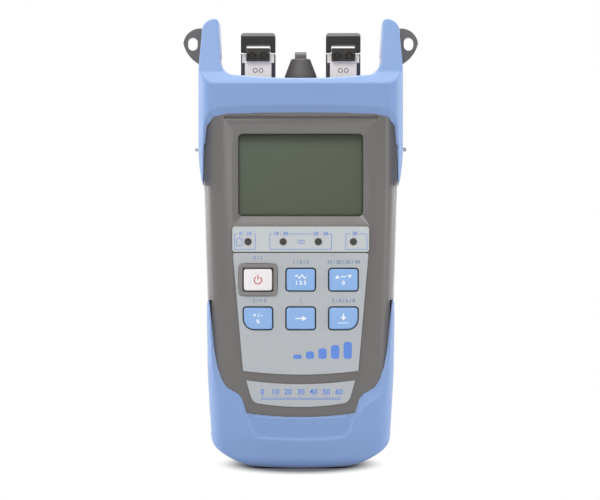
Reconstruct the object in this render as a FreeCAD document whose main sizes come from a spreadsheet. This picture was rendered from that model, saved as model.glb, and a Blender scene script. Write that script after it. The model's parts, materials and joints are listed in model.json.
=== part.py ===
import FreeCAD, Part

import math
import os

import Sketcher

# Handheld optical power meter, standing upright on its lower rubber guard.
# Millimetres. +Z is up, the front faces -Y, +X is to the right seen from the
# front, and the origin is at the middle of the footprint.

# Sizes that can be set one by one. The sizes that follow from them are in
# follow_up_sizes(), so a change moves everything that sits on it.
SIZES = {
    # general
    "fit_gap": 0.15,
    "reach": 60.0,
    "skim": 0.01,
    # plastic case: two half shells that meet at y = 0
    "case_front": 23.0,
    "case_swell": 6.5,
    "case_wall": 2.2,
    "case_floor": 3.2,
    "case_shoulder_half": 40.8,
    "waist_taper": 1.4,
    "foot_taper": 2.5,
    "case_foot_rise": 9.0,
    "case_corner": 3.0,
    "case_round": 5.5,
    "swell_clear": 3.4,
    "swell_run": 14.0,
    "swell_round": 15.0,
    # lower rubber guard
    "foot_flat_half": 18.0,
    "foot_flat_run": 10.0,
    "foot_flat_lift": 2.3,
    "foot_corner_rise": 6.6,
    "foot_corner_cut": 2.8,
    "foot_corner_bulge": 2.9,
    "foot_low_level": 15.0,
    "foot_low_proud": 0.9,
    "foot_top_proud": 0.4,
    "foot_top": 70.9,
    "foot_bulge_drop": 30.0,
    "foot_front_proud": 3.0,
    "foot_back_proud": 3.5,
    "foot_seat": 2.1,
    "foot_sill": 21.3,
    "foot_facet_deep": 1.3,
    "foot_facet_half": 23.2,
    "foot_facet_tall": 9.3,
    "foot_round": 6.5,
    "foot_under_round": 4.5,
    # upper rubber guard with its two horns
    "head_proud": 2.4,
    "head_front_proud": 3.5,
    "head_back_proud": 3.0,
    "head_round": 6.5,
    "arm_sweep": 9.0,
    "arm_sweep_start": 14.0,
    "head_lip": 3.6,
    "head_corner": 9.0,
    "head_skirt": 26.2,
    "arm_drop": 30.3,
    "sill_gap": 0.3,
    "band_rise": 3.1,
    "band_dip": 1.6,
    "band_fall": 3.8,
    "horn_rise": 23.9,
    "horn_thick": 7.4,
    "horn_depth": 27.0,
    "horn_crease": 4.0,
    # strap lugs on the rear shell
    "lug_proud": 7.2,
    "lug_drop": 10.0,
    "lug_thick": 4.0,
    "lug_middle": 6.0,
    "lug_rim": 4.1,
    "lug_eye_half": 2.05,
    "lug_eye_long": 0.7,
    # display
    "screen_half": 26.4,
    "screen_tall": 34.9,
    "screen_round": 2.0,
    "bezel_round": 0.6,
    "bezel_side": 2.8,
    "bezel_top": 3.0,
    "bezel_bottom": 4.0,
    "bezel_depth": 1.7,
    "lens_thick": 1.2,
    "lens_lap": 1.3,
    "glass_thick": 2.2,
    "slit_rise": 3.1,
    "slit_tall": 1.4,
    "slit_past": 6.0,
    "slit_depth": 1.0,
    # panels stuck on the front face
    "panel_gap": 0.5,
    "panel_round": 1.1,
    "light_panel_tall": 10.6,
    "light_panel_past": 0.2,
    "light_panel_thick": 1.1,
    "light_rise": 4.2,
    "light_pitch": 14.8,
    "light_radius": 1.35,
    "light_collar": 0.6,
    "light_collar_long": 1.0,
    "light_proud": 0.5,
    "key_panel_rise": 4.0,
    "key_panel_sag": 1.6,
    "key_panel_taper": 4.3,
    "key_panel_side": 2.4,
    "key_panel_head": 11.3,
    "key_panel_foot": 22.1,
    "key_panel_thick": 0.8,
    "plate_rise": 6.3,
    "plate_tall": 9.6,
    "plate_sag": 1.7,
    "plate_step": 1.3,
    "plate_taper": 2.6,
    "plate_thick": 0.8,
    "plate_round": 2.9,
    # buttons
    "key_pitch": 18.0,
    "key_row_pitch": 16.3,
    "key_hole_wide": 13.0,
    "key_hole_tall": 10.2,
    "key_gap": 0.55,
    "key_round": 1.6,
    "key_proud": 1.0,
    "key_flange": 0.9,
    "key_lip": 0.8,
    "key_travel": 0.8,
    "key_sweep": 5.0,
    "power_frame": 1.7,
    "power_frame_proud": 1.0,
    "mat_thick": 1.2,
    "dome_radius": 3.2,
    # circuit board
    "board_face": 12.6,
    "board_thick": 1.6,
    "board_margin": 0.6,
    "board_rise": 6.7,
    "board_drop": 6.0,
    "board_round": 2.0,
    # case screws and their bosses
    "screw_inset_high": 13.2,
    "screw_drop": 2.8,
    "screw_inset_low": 10.9,
    "screw_rise": 14.7,
    "screw_radius": 1.25,
    "screw_head": 2.0,
    "screw_head_deep": 2.6,
    "screw_slot": 0.28,
    "boss_wall": 1.5,
    # optical ports on the deck
    "sill_to_deck": 14.0,
    "port_offset": 18.1,
    "port_half": 7.3,
    "port_deep": 9.0,
    "port_rise": 12.2,
    "port_bore": 1.26,
    "port_floor": 0.8,
    "port_throat": 0.9,
    "port_mouth": 4.2,
    "port_mouth_half": 4.6,
    "port_spigot": 4.8,
    "shield_thick": 1.0,
    "shield_lift": 0.6,
    "shield_step_drop": 3.8,
    "shield_wide_half": 6.8,
    "shield_narrow_half": 5.65,
    "hinge_half": 5.0,
    "hinge_stand_off": 1.2,
    "hinge_axis_rise": 1.4,
    "hinge_knuckle": 1.0,
    "hinge_pin": 0.45,
    "hinge_slack": 0.03,
    "hinge_drop": 3.1,
    "hinge_proud": 3.0,
    "hinge_screw_x": 2.5,
    "hinge_screw_drop": 0.9,
    "hinge_screw_head": 1.25,
    "hinge_screw_sink": 0.35,
    "hinge_screw_seat": 1.4,
    "cap_rise": 8.9,
    "cap_back": 8.6,
    "cap_tunnel_rise": 2.6,
    "cap_bevel": 1.4,
    "cap_side_gap": 0.12,
    "cap_rest": 0.3,
    "module_radius": 6.2,
    "module_long": 20.0,
    "sleeve_wall": 0.8,
    # laser port and its rubber cap
    "laser_flange": 5.6,
    "laser_flange_thick": 1.0,
    "laser_neck": 3.2,
    "laser_rise": 7.0,
    "laser_bevel": 0.5,
    "laser_cap_foot": 6.9,
    "laser_cap_top": 4.0,
    "laser_cap_round": 0.9,
    "laser_cap_skirt": 1.2,
    "laser_cap_roof": 3.5,
    "loop_half": 2.5,
    "loop_rise": 2.9,
    "loop_radius": 2.6,
    "loop_hole": 1.2,
    # battery bay and door
    "cell_radius": 7.1,
    "cell_long": 50.0,
    "cell_space": 0.4,
    "cell_nub": 1.0,
    "cell_nub_radius": 2.75,
    "cell_end_gap": 2.1,
    "cell_head_room": 0.65,
    "bay_side_gap": 0.7,
    "bay_floor": 3.2,
    "contact_thick": 0.4,
    "door_frame": 3.6,
    "door_foot": 1.3,
    "door_head": 7.5,
    "door_thick": 1.8,
    "door_round": 3.0,
    "door_screw_rise": 3.9,
    "door_screw_flange": 0.4,
    "door_screw_long": 6.0,
    "door_groove": 1.2,
    "door_groove_pitch": 3.0,
    "door_groove_depth": 0.6,
    # tilt stand
    "stand_rise": 20.3,
    "stand_inset": 4.6,
    "stand_arm": 4.2,
    "stand_thick": 3.2,
    "stand_bar": 7.0,
    "stand_bar_gap": 1.0,
    "stand_pivot_depth": 2.2,
    "stand_pivot_rise": 5.3,
    "stand_eye": 2.2,
    "stand_pin": 1.15,
    "stand_pin_slack": 0.05,
    "stand_pin_past": 2.7,
    "stand_slot_gap": 0.35,
}


class Size:
    """A length that carries both its number and its spreadsheet formula."""

    def __init__(self, value, formula):
        self.value = value
        self.formula = formula

    def __add__(self, other):
        return join(self, "+", other)

    def __radd__(self, other):
        return join(other, "+", self)

    def __sub__(self, other):
        return join(self, "-", other)

    def __rsub__(self, other):
        return join(other, "-", self)

    def __mul__(self, other):
        return join(self, "*", other)

    def __rmul__(self, other):
        return join(other, "*", self)

    def __truediv__(self, other):
        return join(self, "/", other)

    def __neg__(self):
        return Size(-self.value, f"(-{self.formula})")


def as_size(item):
    """Give a plain number the same two sides as a sheet size."""
    return item if isinstance(item, Size) else Size(float(item), f"({float(item)!r})")


def join(left, sign, right):
    """Work out both the number and the formula of one sum or product."""
    left, right = as_size(left), as_size(right)
    value = {
        "+": lambda: left.value + right.value,
        "-": lambda: left.value - right.value,
        "*": lambda: left.value * right.value,
        "/": lambda: left.value / right.value,
    }[sign]()
    return Size(value, f"({left.formula} {sign} {right.formula})")


class Sheet:
    """The driving dimensions, read as attributes that are Size values."""

    def __init__(self, document, sizes):
        self.table = document.addObject("Spreadsheet::Sheet", "Sizes")
        self.rows = 0
        for name, value in sizes.items():
            self.write(name, value, str(value))

    def write(self, name, value, content):
        """Fill one row of the sheet and offer it under its name."""
        self.rows += 1
        self.table.set(f"A{self.rows}", name)
        self.table.set(f"B{self.rows}", content)
        self.table.setAlias(f"B{self.rows}", name)
        setattr(self, name, Size(value, f"Sizes.{name}"))

    def follow(self, name, size):
        """Add a size that follows from others already in the sheet."""
        self.write(name, size.value, "=" + size.formula.replace("Sizes.", ""))


def follow_up_sizes(sheet):
    """Levels and widths that sit on one another, from the foot upwards."""
    s, follow = sheet, sheet.follow
    # widths of the case and of the two guards around it
    follow("case_waist_half", s.case_shoulder_half - s.waist_taper)
    follow("case_foot_half", s.case_waist_half - s.foot_taper)
    follow("foot_low_half", s.case_foot_half + s.foot_low_proud)
    follow("foot_top_half", s.case_waist_half + s.foot_top_proud)
    follow("foot_corner_half", s.foot_low_half - s.foot_corner_cut)
    follow("head_half", s.case_shoulder_half + s.head_proud)
    follow("lug_reach", s.head_half + s.lug_proud)
    # levels of the front face
    follow("plate_low", s.foot_sill + s.plate_rise)
    follow("plate_high", s.plate_low + s.plate_tall)
    follow("key_panel_low", s.plate_high + s.key_panel_rise)
    follow("key_lower", s.key_panel_low + s.key_panel_foot)
    follow("key_upper", s.key_lower + s.key_row_pitch)
    follow("key_panel_high", s.key_upper + s.key_panel_head)
    follow("light_panel_low", s.key_panel_high + s.panel_gap)
    follow("light_level", s.light_panel_low + s.light_rise)
    follow("light_panel_high", s.light_panel_low + s.light_panel_tall)
    follow("screen_low", s.light_panel_high + s.bezel_bottom + s.sill_gap)
    follow("screen_high", s.screen_low + s.screen_tall)
    follow("slit_low", s.screen_high + s.bezel_top + s.slit_rise)
    follow("slit_high", s.slit_low + s.slit_tall)
    follow("head_sill", s.slit_high + s.sill_gap)
    follow("head_tip", s.head_sill - s.arm_drop)
    follow("case_deck", s.head_sill + s.sill_to_deck)
    follow("band_top", s.case_deck + s.band_rise)
    follow("band_crest", s.band_top - s.band_fall)
    follow("full_height", s.band_top + s.horn_rise)
    follow("lug_level", s.full_height - s.lug_drop)
    # half widths of the front face
    panel_half = s.key_pitch + s.key_hole_wide / 2 + s.power_frame + s.key_panel_side
    follow("key_panel_top_half", panel_half)
    follow("key_panel_low_half", s.key_panel_top_half - s.key_panel_taper)
    follow("light_panel_half", s.key_panel_top_half + s.light_panel_past)
    follow("plate_top_half", s.key_panel_low_half - s.plate_step)
    follow("plate_low_half", s.plate_top_half - s.plate_taper)
    follow("slit_half", s.screen_half + s.slit_past)
    # circuit board and case screws
    follow("board_low", s.foot_sill + s.board_rise)
    follow("board_high", s.case_deck - s.board_drop)
    follow("screw_x_high", s.case_shoulder_half - s.screw_inset_high)
    follow("screw_x_low", s.case_foot_half - s.screw_inset_low)
    follow("screw_z_low", s.foot_sill + s.screw_rise)
    follow("screw_z_high", s.head_sill - s.screw_drop)
    # ports
    follow("port_high", s.case_deck + s.port_rise)
    follow("port_face", s.port_deep + s.shield_thick)
    follow("shield_low", s.case_deck + s.shield_lift)
    follow("shield_step", s.port_high - s.shield_step_drop)
    follow("hinge_axis_y", -s.port_face - s.hinge_stand_off)
    follow("hinge_axis_z", s.port_high + s.hinge_axis_rise)
    follow("hinge_low", s.port_high - s.hinge_drop)
    follow("hinge_face", s.port_face + s.hinge_proud)
    follow("hinge_screw_z", s.port_high - s.hinge_screw_drop)
    follow("cap_high", s.port_high + s.cap_rise)
    follow("cap_tunnel", s.hinge_axis_z + s.cap_tunnel_rise)
    follow("module_low", s.case_deck - s.module_long)
    follow("laser_high", s.case_deck + s.laser_rise)
    follow("laser_cap_high", s.laser_high + s.laser_cap_roof)
    follow("loop_high", s.laser_cap_high + s.loop_rise)
    # tilt stand, battery bay and door, from the stand's bar upwards
    follow("stand_low", s.foot_sill + s.stand_rise)
    follow("door_low", s.stand_low + s.stand_bar + s.stand_bar_gap)
    follow("bay_low", s.door_low + s.door_foot)
    follow("cell_low", s.bay_low + s.cell_end_gap)
    follow("bay_high", s.bay_low + s.cell_long + 2 * s.cell_end_gap)
    follow("door_high", s.bay_high + s.door_head)
    follow("door_screw_z", s.bay_high + s.door_screw_rise)
    follow("swell_start", s.door_high + s.swell_clear)
    follow("swell_end", s.swell_start + s.swell_run)
    follow("stand_pivot_z", s.swell_end + s.stand_pivot_rise)
    follow("cell_pitch", 2 * s.cell_radius + s.cell_space)
    follow("bay_half", 1.5 * s.cell_pitch + s.bay_side_gap)
    follow("door_half", s.bay_half + s.door_frame)
    follow("stand_outer", s.case_waist_half - s.stand_inset)
    follow("stand_inner", s.stand_outer - s.stand_arm)
    follow("stand_pin_end", s.head_half + s.stand_pin_past)
    # depths
    bay_depth = s.fit_gap + 2 * s.cell_radius + s.cell_head_room
    follow("case_back", s.bay_floor + bay_depth + s.door_thick)
    follow("foot_front", s.case_front + s.foot_front_proud)
    follow("foot_back", s.case_back + s.foot_back_proud)
    follow("head_front", s.case_front + s.head_front_proud)
    follow("head_back", s.case_back + s.case_swell + s.head_back_proud)
    follow("stand_pivot_y", s.case_back + s.stand_pivot_depth)
    return sheet


doc = FreeCAD.newDocument("optical_power_meter")
S = follow_up_sizes(Sheet(doc, SIZES))
doc.recompute()
parts = {}


# ---------------------------------------------------------------- sketching


class Corner:
    """A corner of an outline, sharp or rounded."""

    def __init__(self, x, y, round_by=None):
        self.x, self.y = as_size(x), as_size(y)
        self.round_by = None if round_by is None else as_size(round_by)

    def flipped(self):
        return Corner(-self.x, self.y, self.round_by)


class Via(Corner):
    """The middle point of an arc between two corners."""

    def flipped(self):
        return Via(-self.x, self.y)


def at(x, y, round_by=None):
    return Corner(x, y, round_by)


def via(x, y):
    return Via(x, y)


def mirrored(half):
    """Close a right-hand half outline with its mirror image about x = 0."""
    off_axis = [point for point in half if abs(point.x.value) > 1e-9]
    left = [point.flipped() for point in reversed(off_axis)]
    return list(half) + left


def rectangle(x_low, x_high, y_low, y_high, round_by=None):
    """An upright rectangle, with rounded corners if asked."""
    return [
        at(x_low, y_low, round_by),
        at(x_high, y_low, round_by),
        at(x_high, y_high, round_by),
        at(x_low, y_high, round_by),
    ]


def vector(point):
    return FreeCAD.Vector(point.x.value, point.y.value, 0)


class Drawing:
    """Draws outlines in one sketch, each point held by sheet formulas."""

    def __init__(self, sketch):
        self.sketch = sketch
        self.rules = []
        self.driven = []

    def hold(self, kind, *where, size):
        """Add a measured rule that follows a formula."""
        self.driven.append((len(self.rules), size))
        self.rules.append(Sketcher.Constraint(kind, *where, size.value))

    def place(self, geometry, vertex, point):
        """Fix one vertex at a point's two formulas."""
        self.hold("DistanceX", -1, 1, geometry, vertex, size=point.x)
        self.hold("DistanceY", -1, 1, geometry, vertex, size=point.y)

    def helper_point(self, point):
        index = self.sketch.addGeometry(Part.Point(vector(point)), True)
        self.place(index, 1, point)
        return index

    def arc(self, start, middle, end):
        """Add an arc and say which of its vertices is the start."""
        circle = Part.Circle(start, middle, end)
        centre, radius = circle.Center, circle.Radius
        turn = (middle - start).cross(end - middle).z
        first, last = (start, end) if turn > 0 else (end, start)
        angle = [math.atan2(*(p - centre)[1::-1]) for p in (first, last)]
        if angle[1] <= angle[0]:
            angle[1] += 2 * math.pi
        flat = Part.Circle(centre, FreeCAD.Vector(0, 0, 1), radius)
        index = self.sketch.addGeometry(Part.ArcOfCircle(flat, *angle), False)
        return (index, 1, 2) if turn > 0 else (index, 2, 1)

    def circle(self, x, y, radius):
        x, y, radius = as_size(x), as_size(y), as_size(radius)
        middle = FreeCAD.Vector(x.value, y.value, 0)
        shape = Part.Circle(middle, FreeCAD.Vector(0, 0, 1), radius.value)
        index = self.sketch.addGeometry(shape, False)
        self.place(index, 3, at(x, y))
        self.hold("Radius", index, size=radius)

    def outline(self, points):
        """Draw a closed outline of lines and arcs with rounded corners."""
        corners = [p for p in points if not isinstance(p, Via)]
        middles = {}
        for index, point in enumerate(points):
            if isinstance(point, Via):
                middles[id(points[index - 1])] = point
        trims = {id(c): self.trim(c, corners, middles) for c in corners}
        edges = []
        for index, corner in enumerate(corners):
            following = corners[(index + 1) % len(corners)]
            start, end = trims[id(corner)][1], trims[id(following)][0]
            middle = middles.get(id(corner))
            if middle is None:
                line = Part.LineSegment(start, end)
                edges.append((self.sketch.addGeometry(line, False), 1, 2))
            else:
                edges.append(self.arc(start, vector(middle), end))
                passed = self.helper_point(middle)
                rule = Sketcher.Constraint("PointOnObject", passed, 1, edges[-1][0])
                self.rules.append(rule)
        for index, corner in enumerate(corners):
            before, after = edges[index - 1], edges[index]
            self.corner(corner, before, after, trims[id(corner)])

    def trim(self, corner, corners, middles):
        """Where a corner's rounding starts and ends on its two lines."""
        here = vector(corner)
        if corner.round_by is None:
            return here, here, here
        index = corners.index(corner)
        back = (vector(corners[index - 1]) - here).normalize()
        onward = (vector(corners[(index + 1) % len(corners)]) - here).normalize()
        half_angle = back.getAngle(onward) / 2
        reach = corner.round_by.value / math.tan(half_angle)
        bisector = (back + onward).normalize()
        depth = corner.round_by.value * (1 / math.sin(half_angle) - 1)
        return here + back * reach, here + onward * reach, here + bisector * depth

    def corner(self, corner, before, after, trim):
        """Tie two edges together at a corner, through an arc if rounded."""
        if corner.round_by is None:
            where = (before[0], before[2], after[0], after[1])
            self.rules.append(Sketcher.Constraint("Coincident", *where))
            self.place(after[0], after[1], corner)
            return
        arc = self.arc(trim[0], trim[2], trim[1])
        first = (before[0], before[2], arc[0], arc[1])
        second = (arc[0], arc[2], after[0], after[1])
        self.rules.append(Sketcher.Constraint("Tangent", *first))
        self.rules.append(Sketcher.Constraint("Tangent", *second))
        self.hold("Radius", arc[0], size=corner.round_by)
        sharp = self.helper_point(corner)
        for edge in (before, after):
            rule = Sketcher.Constraint("PointOnObject", sharp, 1, edge[0])
            self.rules.append(rule)

    def finish(self):
        self.sketch.addConstraint(self.rules)
        for index, size in self.driven:
            self.sketch.setExpression(f"Constraints[{index}]", size.formula)


class Circle:
    """A round loop of a sketch."""

    def __init__(self, x, y, radius):
        self.x, self.y, self.radius = x, y, radius


def bind(item, name, size):
    """Drive one property of an object from the sheet."""
    item.setExpression(name, as_size(size).formula)


def move(item, x=None, y=None, z=None):
    """Place an object at sheet-driven coordinates."""
    for axis, size in zip("xyz", (x, y, z)):
        if size is not None:
            bind(item, f"Placement.Base.{axis}", size)
    return item


def new_body(name):
    return doc.addObject("PartDesign::Body", name)


def new_sketch(body, plane, level, loops):
    """A sketch parallel to a plane of the body, at a level along its axis."""
    sketch = body.newObject("Sketcher::SketchObject", f"{body.Name}_sketch")
    origin = body.Origin.OriginFeatures
    support = next(item for item in origin if item.Role == f"{plane}_Plane")
    sketch.AttachmentSupport = [(support, "")]
    sketch.MapMode = "FlatFace"
    level = as_size(level)
    bind(sketch, "AttachmentOffset.Base.z", -level if plane == "XZ" else level)
    drawing = Drawing(sketch)
    for loop in loops:
        if isinstance(loop, Circle):
            drawing.circle(loop.x, loop.y, loop.radius)
        else:
            drawing.outline(loop)
    drawing.finish()
    return sketch


def extrude(body, kind, plane, low, high, loops):
    """Pad or pocket a sketch from one level to another along its axis."""
    low, high = as_size(low), as_size(high)
    sketch = new_sketch(body, plane, high if plane == "XZ" else low, loops)
    feature = body.newObject(f"PartDesign::{kind}", f"{body.Name}_{kind.lower()}")
    feature.Profile = sketch
    feature.Type = "Length"
    feature.Reversed = kind == "Pocket"
    bind(feature, "Length", high - low)
    body.Tip = feature
    return feature


def pad(body, plane, low, high, *loops):
    extrude(body, "Pad", plane, low, high, loops)
    return body


def pocket(body, plane, low, high, *loops):
    """Cut a sketch out of a body, and make sure that it did cut."""
    doc.recompute()
    before = body.Shape.Volume
    extrude(body, "Pocket", plane, low, high, loops)
    doc.recompute()
    if not body.Shape.Volume < before:
        raise ValueError(f"a pocket of {body.Name} cuts nothing")
    return body


def loft_cut(body, plane, levels, loops):
    """Cut a straight-sided taper between two outlines out of a body."""
    doc.recompute()
    before = body.Shape.Volume
    sketches = [new_sketch(body, plane, z, [loop]) for z, loop in zip(levels, loops)]
    feature = body.newObject("PartDesign::SubtractiveLoft", f"{body.Name}_taper")
    feature.Profile = sketches[0]
    feature.Sections = sketches[1:]
    feature.Ruled = True
    body.Tip = feature
    doc.recompute()
    if not body.Shape.Volume < before:
        raise ValueError(f"a taper of {body.Name} cuts nothing")
    return body


def edge_names(shape, wanted):
    """Names of the edges of a shape that pass a test."""
    return [f"Edge{i}" for i, edge in enumerate(shape.Edges, 1) if wanted(edge)]


def soften(body, kind, size, wanted):
    """Fillet or chamfer the edges of a body that pass a test."""
    doc.recompute()
    feature = body.newObject(f"PartDesign::{kind}", f"{body.Name}_{kind.lower()}")
    base = [item for item in body.Group if item.isDerivedFrom("PartDesign::Feature")][-2]
    names = edge_names(base.Shape, wanted)
    if not names:
        raise ValueError(f"no edge of {body.Name} to soften")
    feature.Base = (base, names)
    bind(feature, "Radius" if kind == "Fillet" else "Size", size)
    body.Tip = feature
    doc.recompute()
    return body


# ---------------------------------------------------------------- primitives


def box(name, x_low, x_high, y_low, y_high, z_low, z_high):
    """A block between two corners."""
    block = doc.addObject("Part::Box", name)
    bind(block, "Length", as_size(x_high) - x_low)
    bind(block, "Width", as_size(y_high) - y_low)
    bind(block, "Height", as_size(z_high) - z_low)
    return move(block, as_size(x_low), as_size(y_low), as_size(z_low))


TURNS = {
    "x": FreeCAD.Rotation(FreeCAD.Vector(0, 1, 0), 90),
    "y": FreeCAD.Rotation(FreeCAD.Vector(1, 0, 0), -90),
    "z": FreeCAD.Rotation(),
}


def rod(name, axis, x, y, z, radius, length):
    """A cylinder from a point along a positive axis."""
    cylinder = doc.addObject("Part::Cylinder", name)
    cylinder.Placement = FreeCAD.Placement(FreeCAD.Vector(), TURNS[axis])
    bind(cylinder, "Radius", radius)
    bind(cylinder, "Height", length)
    return move(cylinder, as_size(x), as_size(y), as_size(z))


def joined(name, *items):
    union = doc.addObject("Part::MultiFuse", name)
    union.Shapes = list(items)
    return union


def shared(name, *items):
    overlap = doc.addObject("Part::MultiCommon", name)
    overlap.Shapes = list(items)
    return overlap


def cut(name, base, *tools):
    """Take one or more tools away from a base."""
    result = doc.addObject("Part::Cut", name)
    result.Base = base
    result.Tool = tools[0] if len(tools) == 1 else joined(f"{name}_cutters", *tools)
    return result


def group(name, *items):
    """Keep separate solids together in one sub-part."""
    bundle = doc.addObject("Part::Compound", name)
    bundle.Links = list(items)
    return bundle


def sub_part(name, item):
    """Register a finished sub-part under its own label."""
    item.Label = name
    parts[name] = item
    return item


# ---------------------------------------------------------------- the case


def case_outline():
    """Right half of the case seen from the front."""
    return [
        at(0, S.case_floor),
        at(S.foot_flat_half, S.case_floor),
        at(S.case_foot_half - S.case_corner, S.case_foot_rise, S.case_corner),
        at(S.case_foot_half, S.foot_low_level + S.case_floor / 2),
        at(S.case_waist_half, S.foot_top),
        at(S.case_shoulder_half, S.head_tip),
        at(S.case_shoulder_half, S.case_deck),
        at(0, S.case_deck),
    ]


def back_profile(inset):
    """Everything behind the case's back, seen from the side."""
    back = S.case_back - inset
    return [
        at(back, -S.reach),
        at(back, S.swell_start + inset / 2, S.swell_round),
        at(back + S.case_swell, S.swell_end + inset / 2, S.swell_round),
        at(back + S.case_swell, S.full_height + S.reach),
        at(back + S.reach, S.full_height + S.reach),
        at(back + S.reach, -S.reach),
    ]


def guard_seats(body):
    """Step the case's sides in where the lower rubber guard sits."""
    for side in (-1, 1):
        inner = side * (S.foot_top_half - S.foot_seat)
        foot = side * (S.foot_low_half - S.foot_seat)
        far = side * S.reach
        low = [
            at(inner, S.foot_top),
            at(foot, S.foot_low_level),
            at(foot, -S.reach),
            at(far, -S.reach),
            at(far, S.foot_top),
        ]
        pocket(body, "XZ", -S.reach, S.reach, low)
    return body


def upright(edge):
    """True for an edge that runs more up than across."""
    box_of = edge.BoundBox
    return box_of.ZLength > 3 * box_of.XLength and box_of.YLength < box_of.ZLength


def make_case_form():
    """The outer form of the closed case."""
    body = new_body("case_form")
    back = S.case_back + S.case_swell
    pad(body, "XZ", -S.case_front, back, mirrored(case_outline()))
    pocket(body, "YZ", -S.reach, S.reach, back_profile(0))
    front = -S.case_front.value

    def front_side(edge):
        box_of = edge.BoundBox
        return abs(box_of.YMax - front) < 0.01 and upright(edge)

    soften(body, "Fillet", S.case_round, front_side)
    return guard_seats(body)


def cavity_outline():
    """Right half of the case's hollow, one wall inside its outline."""
    wall = S.case_wall
    inner_foot = S.foot_low_half - S.foot_seat - wall
    inner_waist = S.foot_top_half - S.foot_seat - wall
    return [
        at(0, S.case_floor + wall),
        at(S.foot_flat_half, S.case_floor + wall),
        at(inner_foot - S.case_corner, S.case_foot_rise + wall, S.case_corner),
        at(inner_foot, S.foot_low_level + wall),
        at(inner_waist, S.foot_top),
        at(S.case_shoulder_half - wall, S.head_tip),
        at(S.case_shoulder_half - wall, S.case_deck - wall),
        at(0, S.case_deck - wall),
    ]


def make_cavity():
    """The hollow of the closed case."""
    body = new_body("case_cavity")
    front, wall = -S.case_front, S.case_wall
    back = S.case_back + S.case_swell - wall
    pad(body, "XZ", front + wall, back, mirrored(cavity_outline()))
    return pocket(body, "YZ", -S.reach, S.reach, back_profile(wall))


def screw_places():
    """The four case screws, as (name, x, z)."""
    for side, word in ((-1, "left"), (1, "right")):
        yield f"{word}_high", side * S.screw_x_high, S.screw_z_high
        yield f"{word}_low", side * S.screw_x_low, S.screw_z_low


def case_bosses(half_name, low, high_of):
    """Screw bosses of one shell, from one level to the wall they grow from."""
    radius = S.screw_radius + S.boss_wall
    return [
        rod(f"{half_name}_boss_{word}", "y", x, low, z, radius, high_of(z) - low)
        for word, x, z in screw_places()
    ]


def back_at(z):
    """How far back the case reaches at a case screw's level."""
    return S.case_back + (S.case_swell if z is S.screw_z_high else 0)


def key_columns():
    """The six button places, as (name, x, z, sweep side)."""
    names = (("power", "wavelength", "reference"), ("unit", "save", "mode"))
    for row, z in zip(names, (S.key_upper, S.key_lower)):
        for name, column in zip(row, (-1, 0, 1)):
            swept = column if row is names[1] else 0
            yield f"{name}_button", column * S.key_pitch, z, swept


def key_loop(x, z, shrink, swept):
    """A button outline, with one large outer low corner where it is swept."""
    half_x, half_z = S.key_hole_wide / 2 - shrink, S.key_hole_tall / 2 - shrink
    small = S.key_round - shrink
    loop = rectangle(x - half_x, x + half_x, z - half_z, z + half_z, small)
    if swept:
        loop[0 if swept < 0 else 1].round_by = S.key_sweep - shrink
    return loop


def light_places():
    for number, step in enumerate((-1.5, -0.5, 0.5, 1.5), start=1):
        yield number, step * S.light_pitch


def make_front_housing(form, cavity):
    """The front half shell with its window, button holes and bosses."""
    shell = shared(
        "front_shell",
        form,
        box("front_space", -S.reach, S.reach, -S.reach, 0, 0, S.full_height + S.reach),
    )
    face, wall = -S.case_front, S.case_wall
    hollow = cut("front_hollowed", shell, cavity)
    bosses = case_bosses("front", face + wall / 2, lambda z: -S.board_face)
    solid = joined("front_solid", hollow, *bosses)
    window = new_body("front_window")
    x, low, high = S.screen_half, S.screen_low, S.screen_high
    pad(window, "XZ", face - 1, face + wall * 2, rectangle(-x, x, low, high, S.screen_round))
    bevel = new_body("front_bevel")
    inner = rectangle(-x, x, low, high, S.screen_round)
    side, top, bottom = S.bezel_side, S.bezel_top, S.bezel_bottom
    outer = rectangle(-x - side, x + side, low - bottom, high + top, S.bezel_round)
    loft(bevel, "XZ", (face, face + S.bezel_depth), (outer, inner))
    slit = box(
        "front_slit",
        -S.slit_half,
        S.slit_half,
        face - 1,
        face + S.slit_depth,
        S.slit_low,
        S.slit_high,
    )
    holes = new_body("front_key_holes")
    loops = [key_loop(x, z, 0, swept) for _, x, z, swept in key_columns()]
    pad(holes, "XZ", face - 1, face + wall * 2, *loops)
    lights = new_body("front_light_holes")
    rings = [Circle(x, S.light_level, S.light_radius + S.fit_gap) for _, x in light_places()]
    pad(lights, "XZ", face - 1, face + wall * 2, *rings)
    thread = S.screw_radius + S.fit_gap / 2
    pilots = [
        rod(f"front_pilot_{word}", "y", x, face + wall, z, thread, S.case_front)
        for word, x, z in screw_places()
    ]
    tools = [window, bevel, slit, holes, lights, *deck_holes("front"), *pilots]
    return sub_part("front_housing", cut("front_housing", solid, *tools))


def loft(body, plane, levels, loops):
    """A straight-sided taper between two outlines."""
    sketches = [new_sketch(body, plane, z, [loop]) for z, loop in zip(levels, loops)]
    feature = body.newObject("PartDesign::AdditiveLoft", f"{body.Name}_taper")
    feature.Profile = sketches[0]
    feature.Sections = sketches[1:]
    feature.Ruled = True
    body.Tip = feature
    return body


def deck_holes(half_name):
    """Round openings of the deck for the three port spigots."""
    low = S.case_deck - S.case_wall * 2
    for word, x in (("left", -S.port_offset), ("right", S.port_offset), ("centre", 0)):
        radius = S.port_spigot + S.fit_gap if x else S.laser_neck + S.fit_gap
        yield rod(f"{half_name}_deck_hole_{word}", "z", x, 0, low, radius, S.case_wall * 3)


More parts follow.
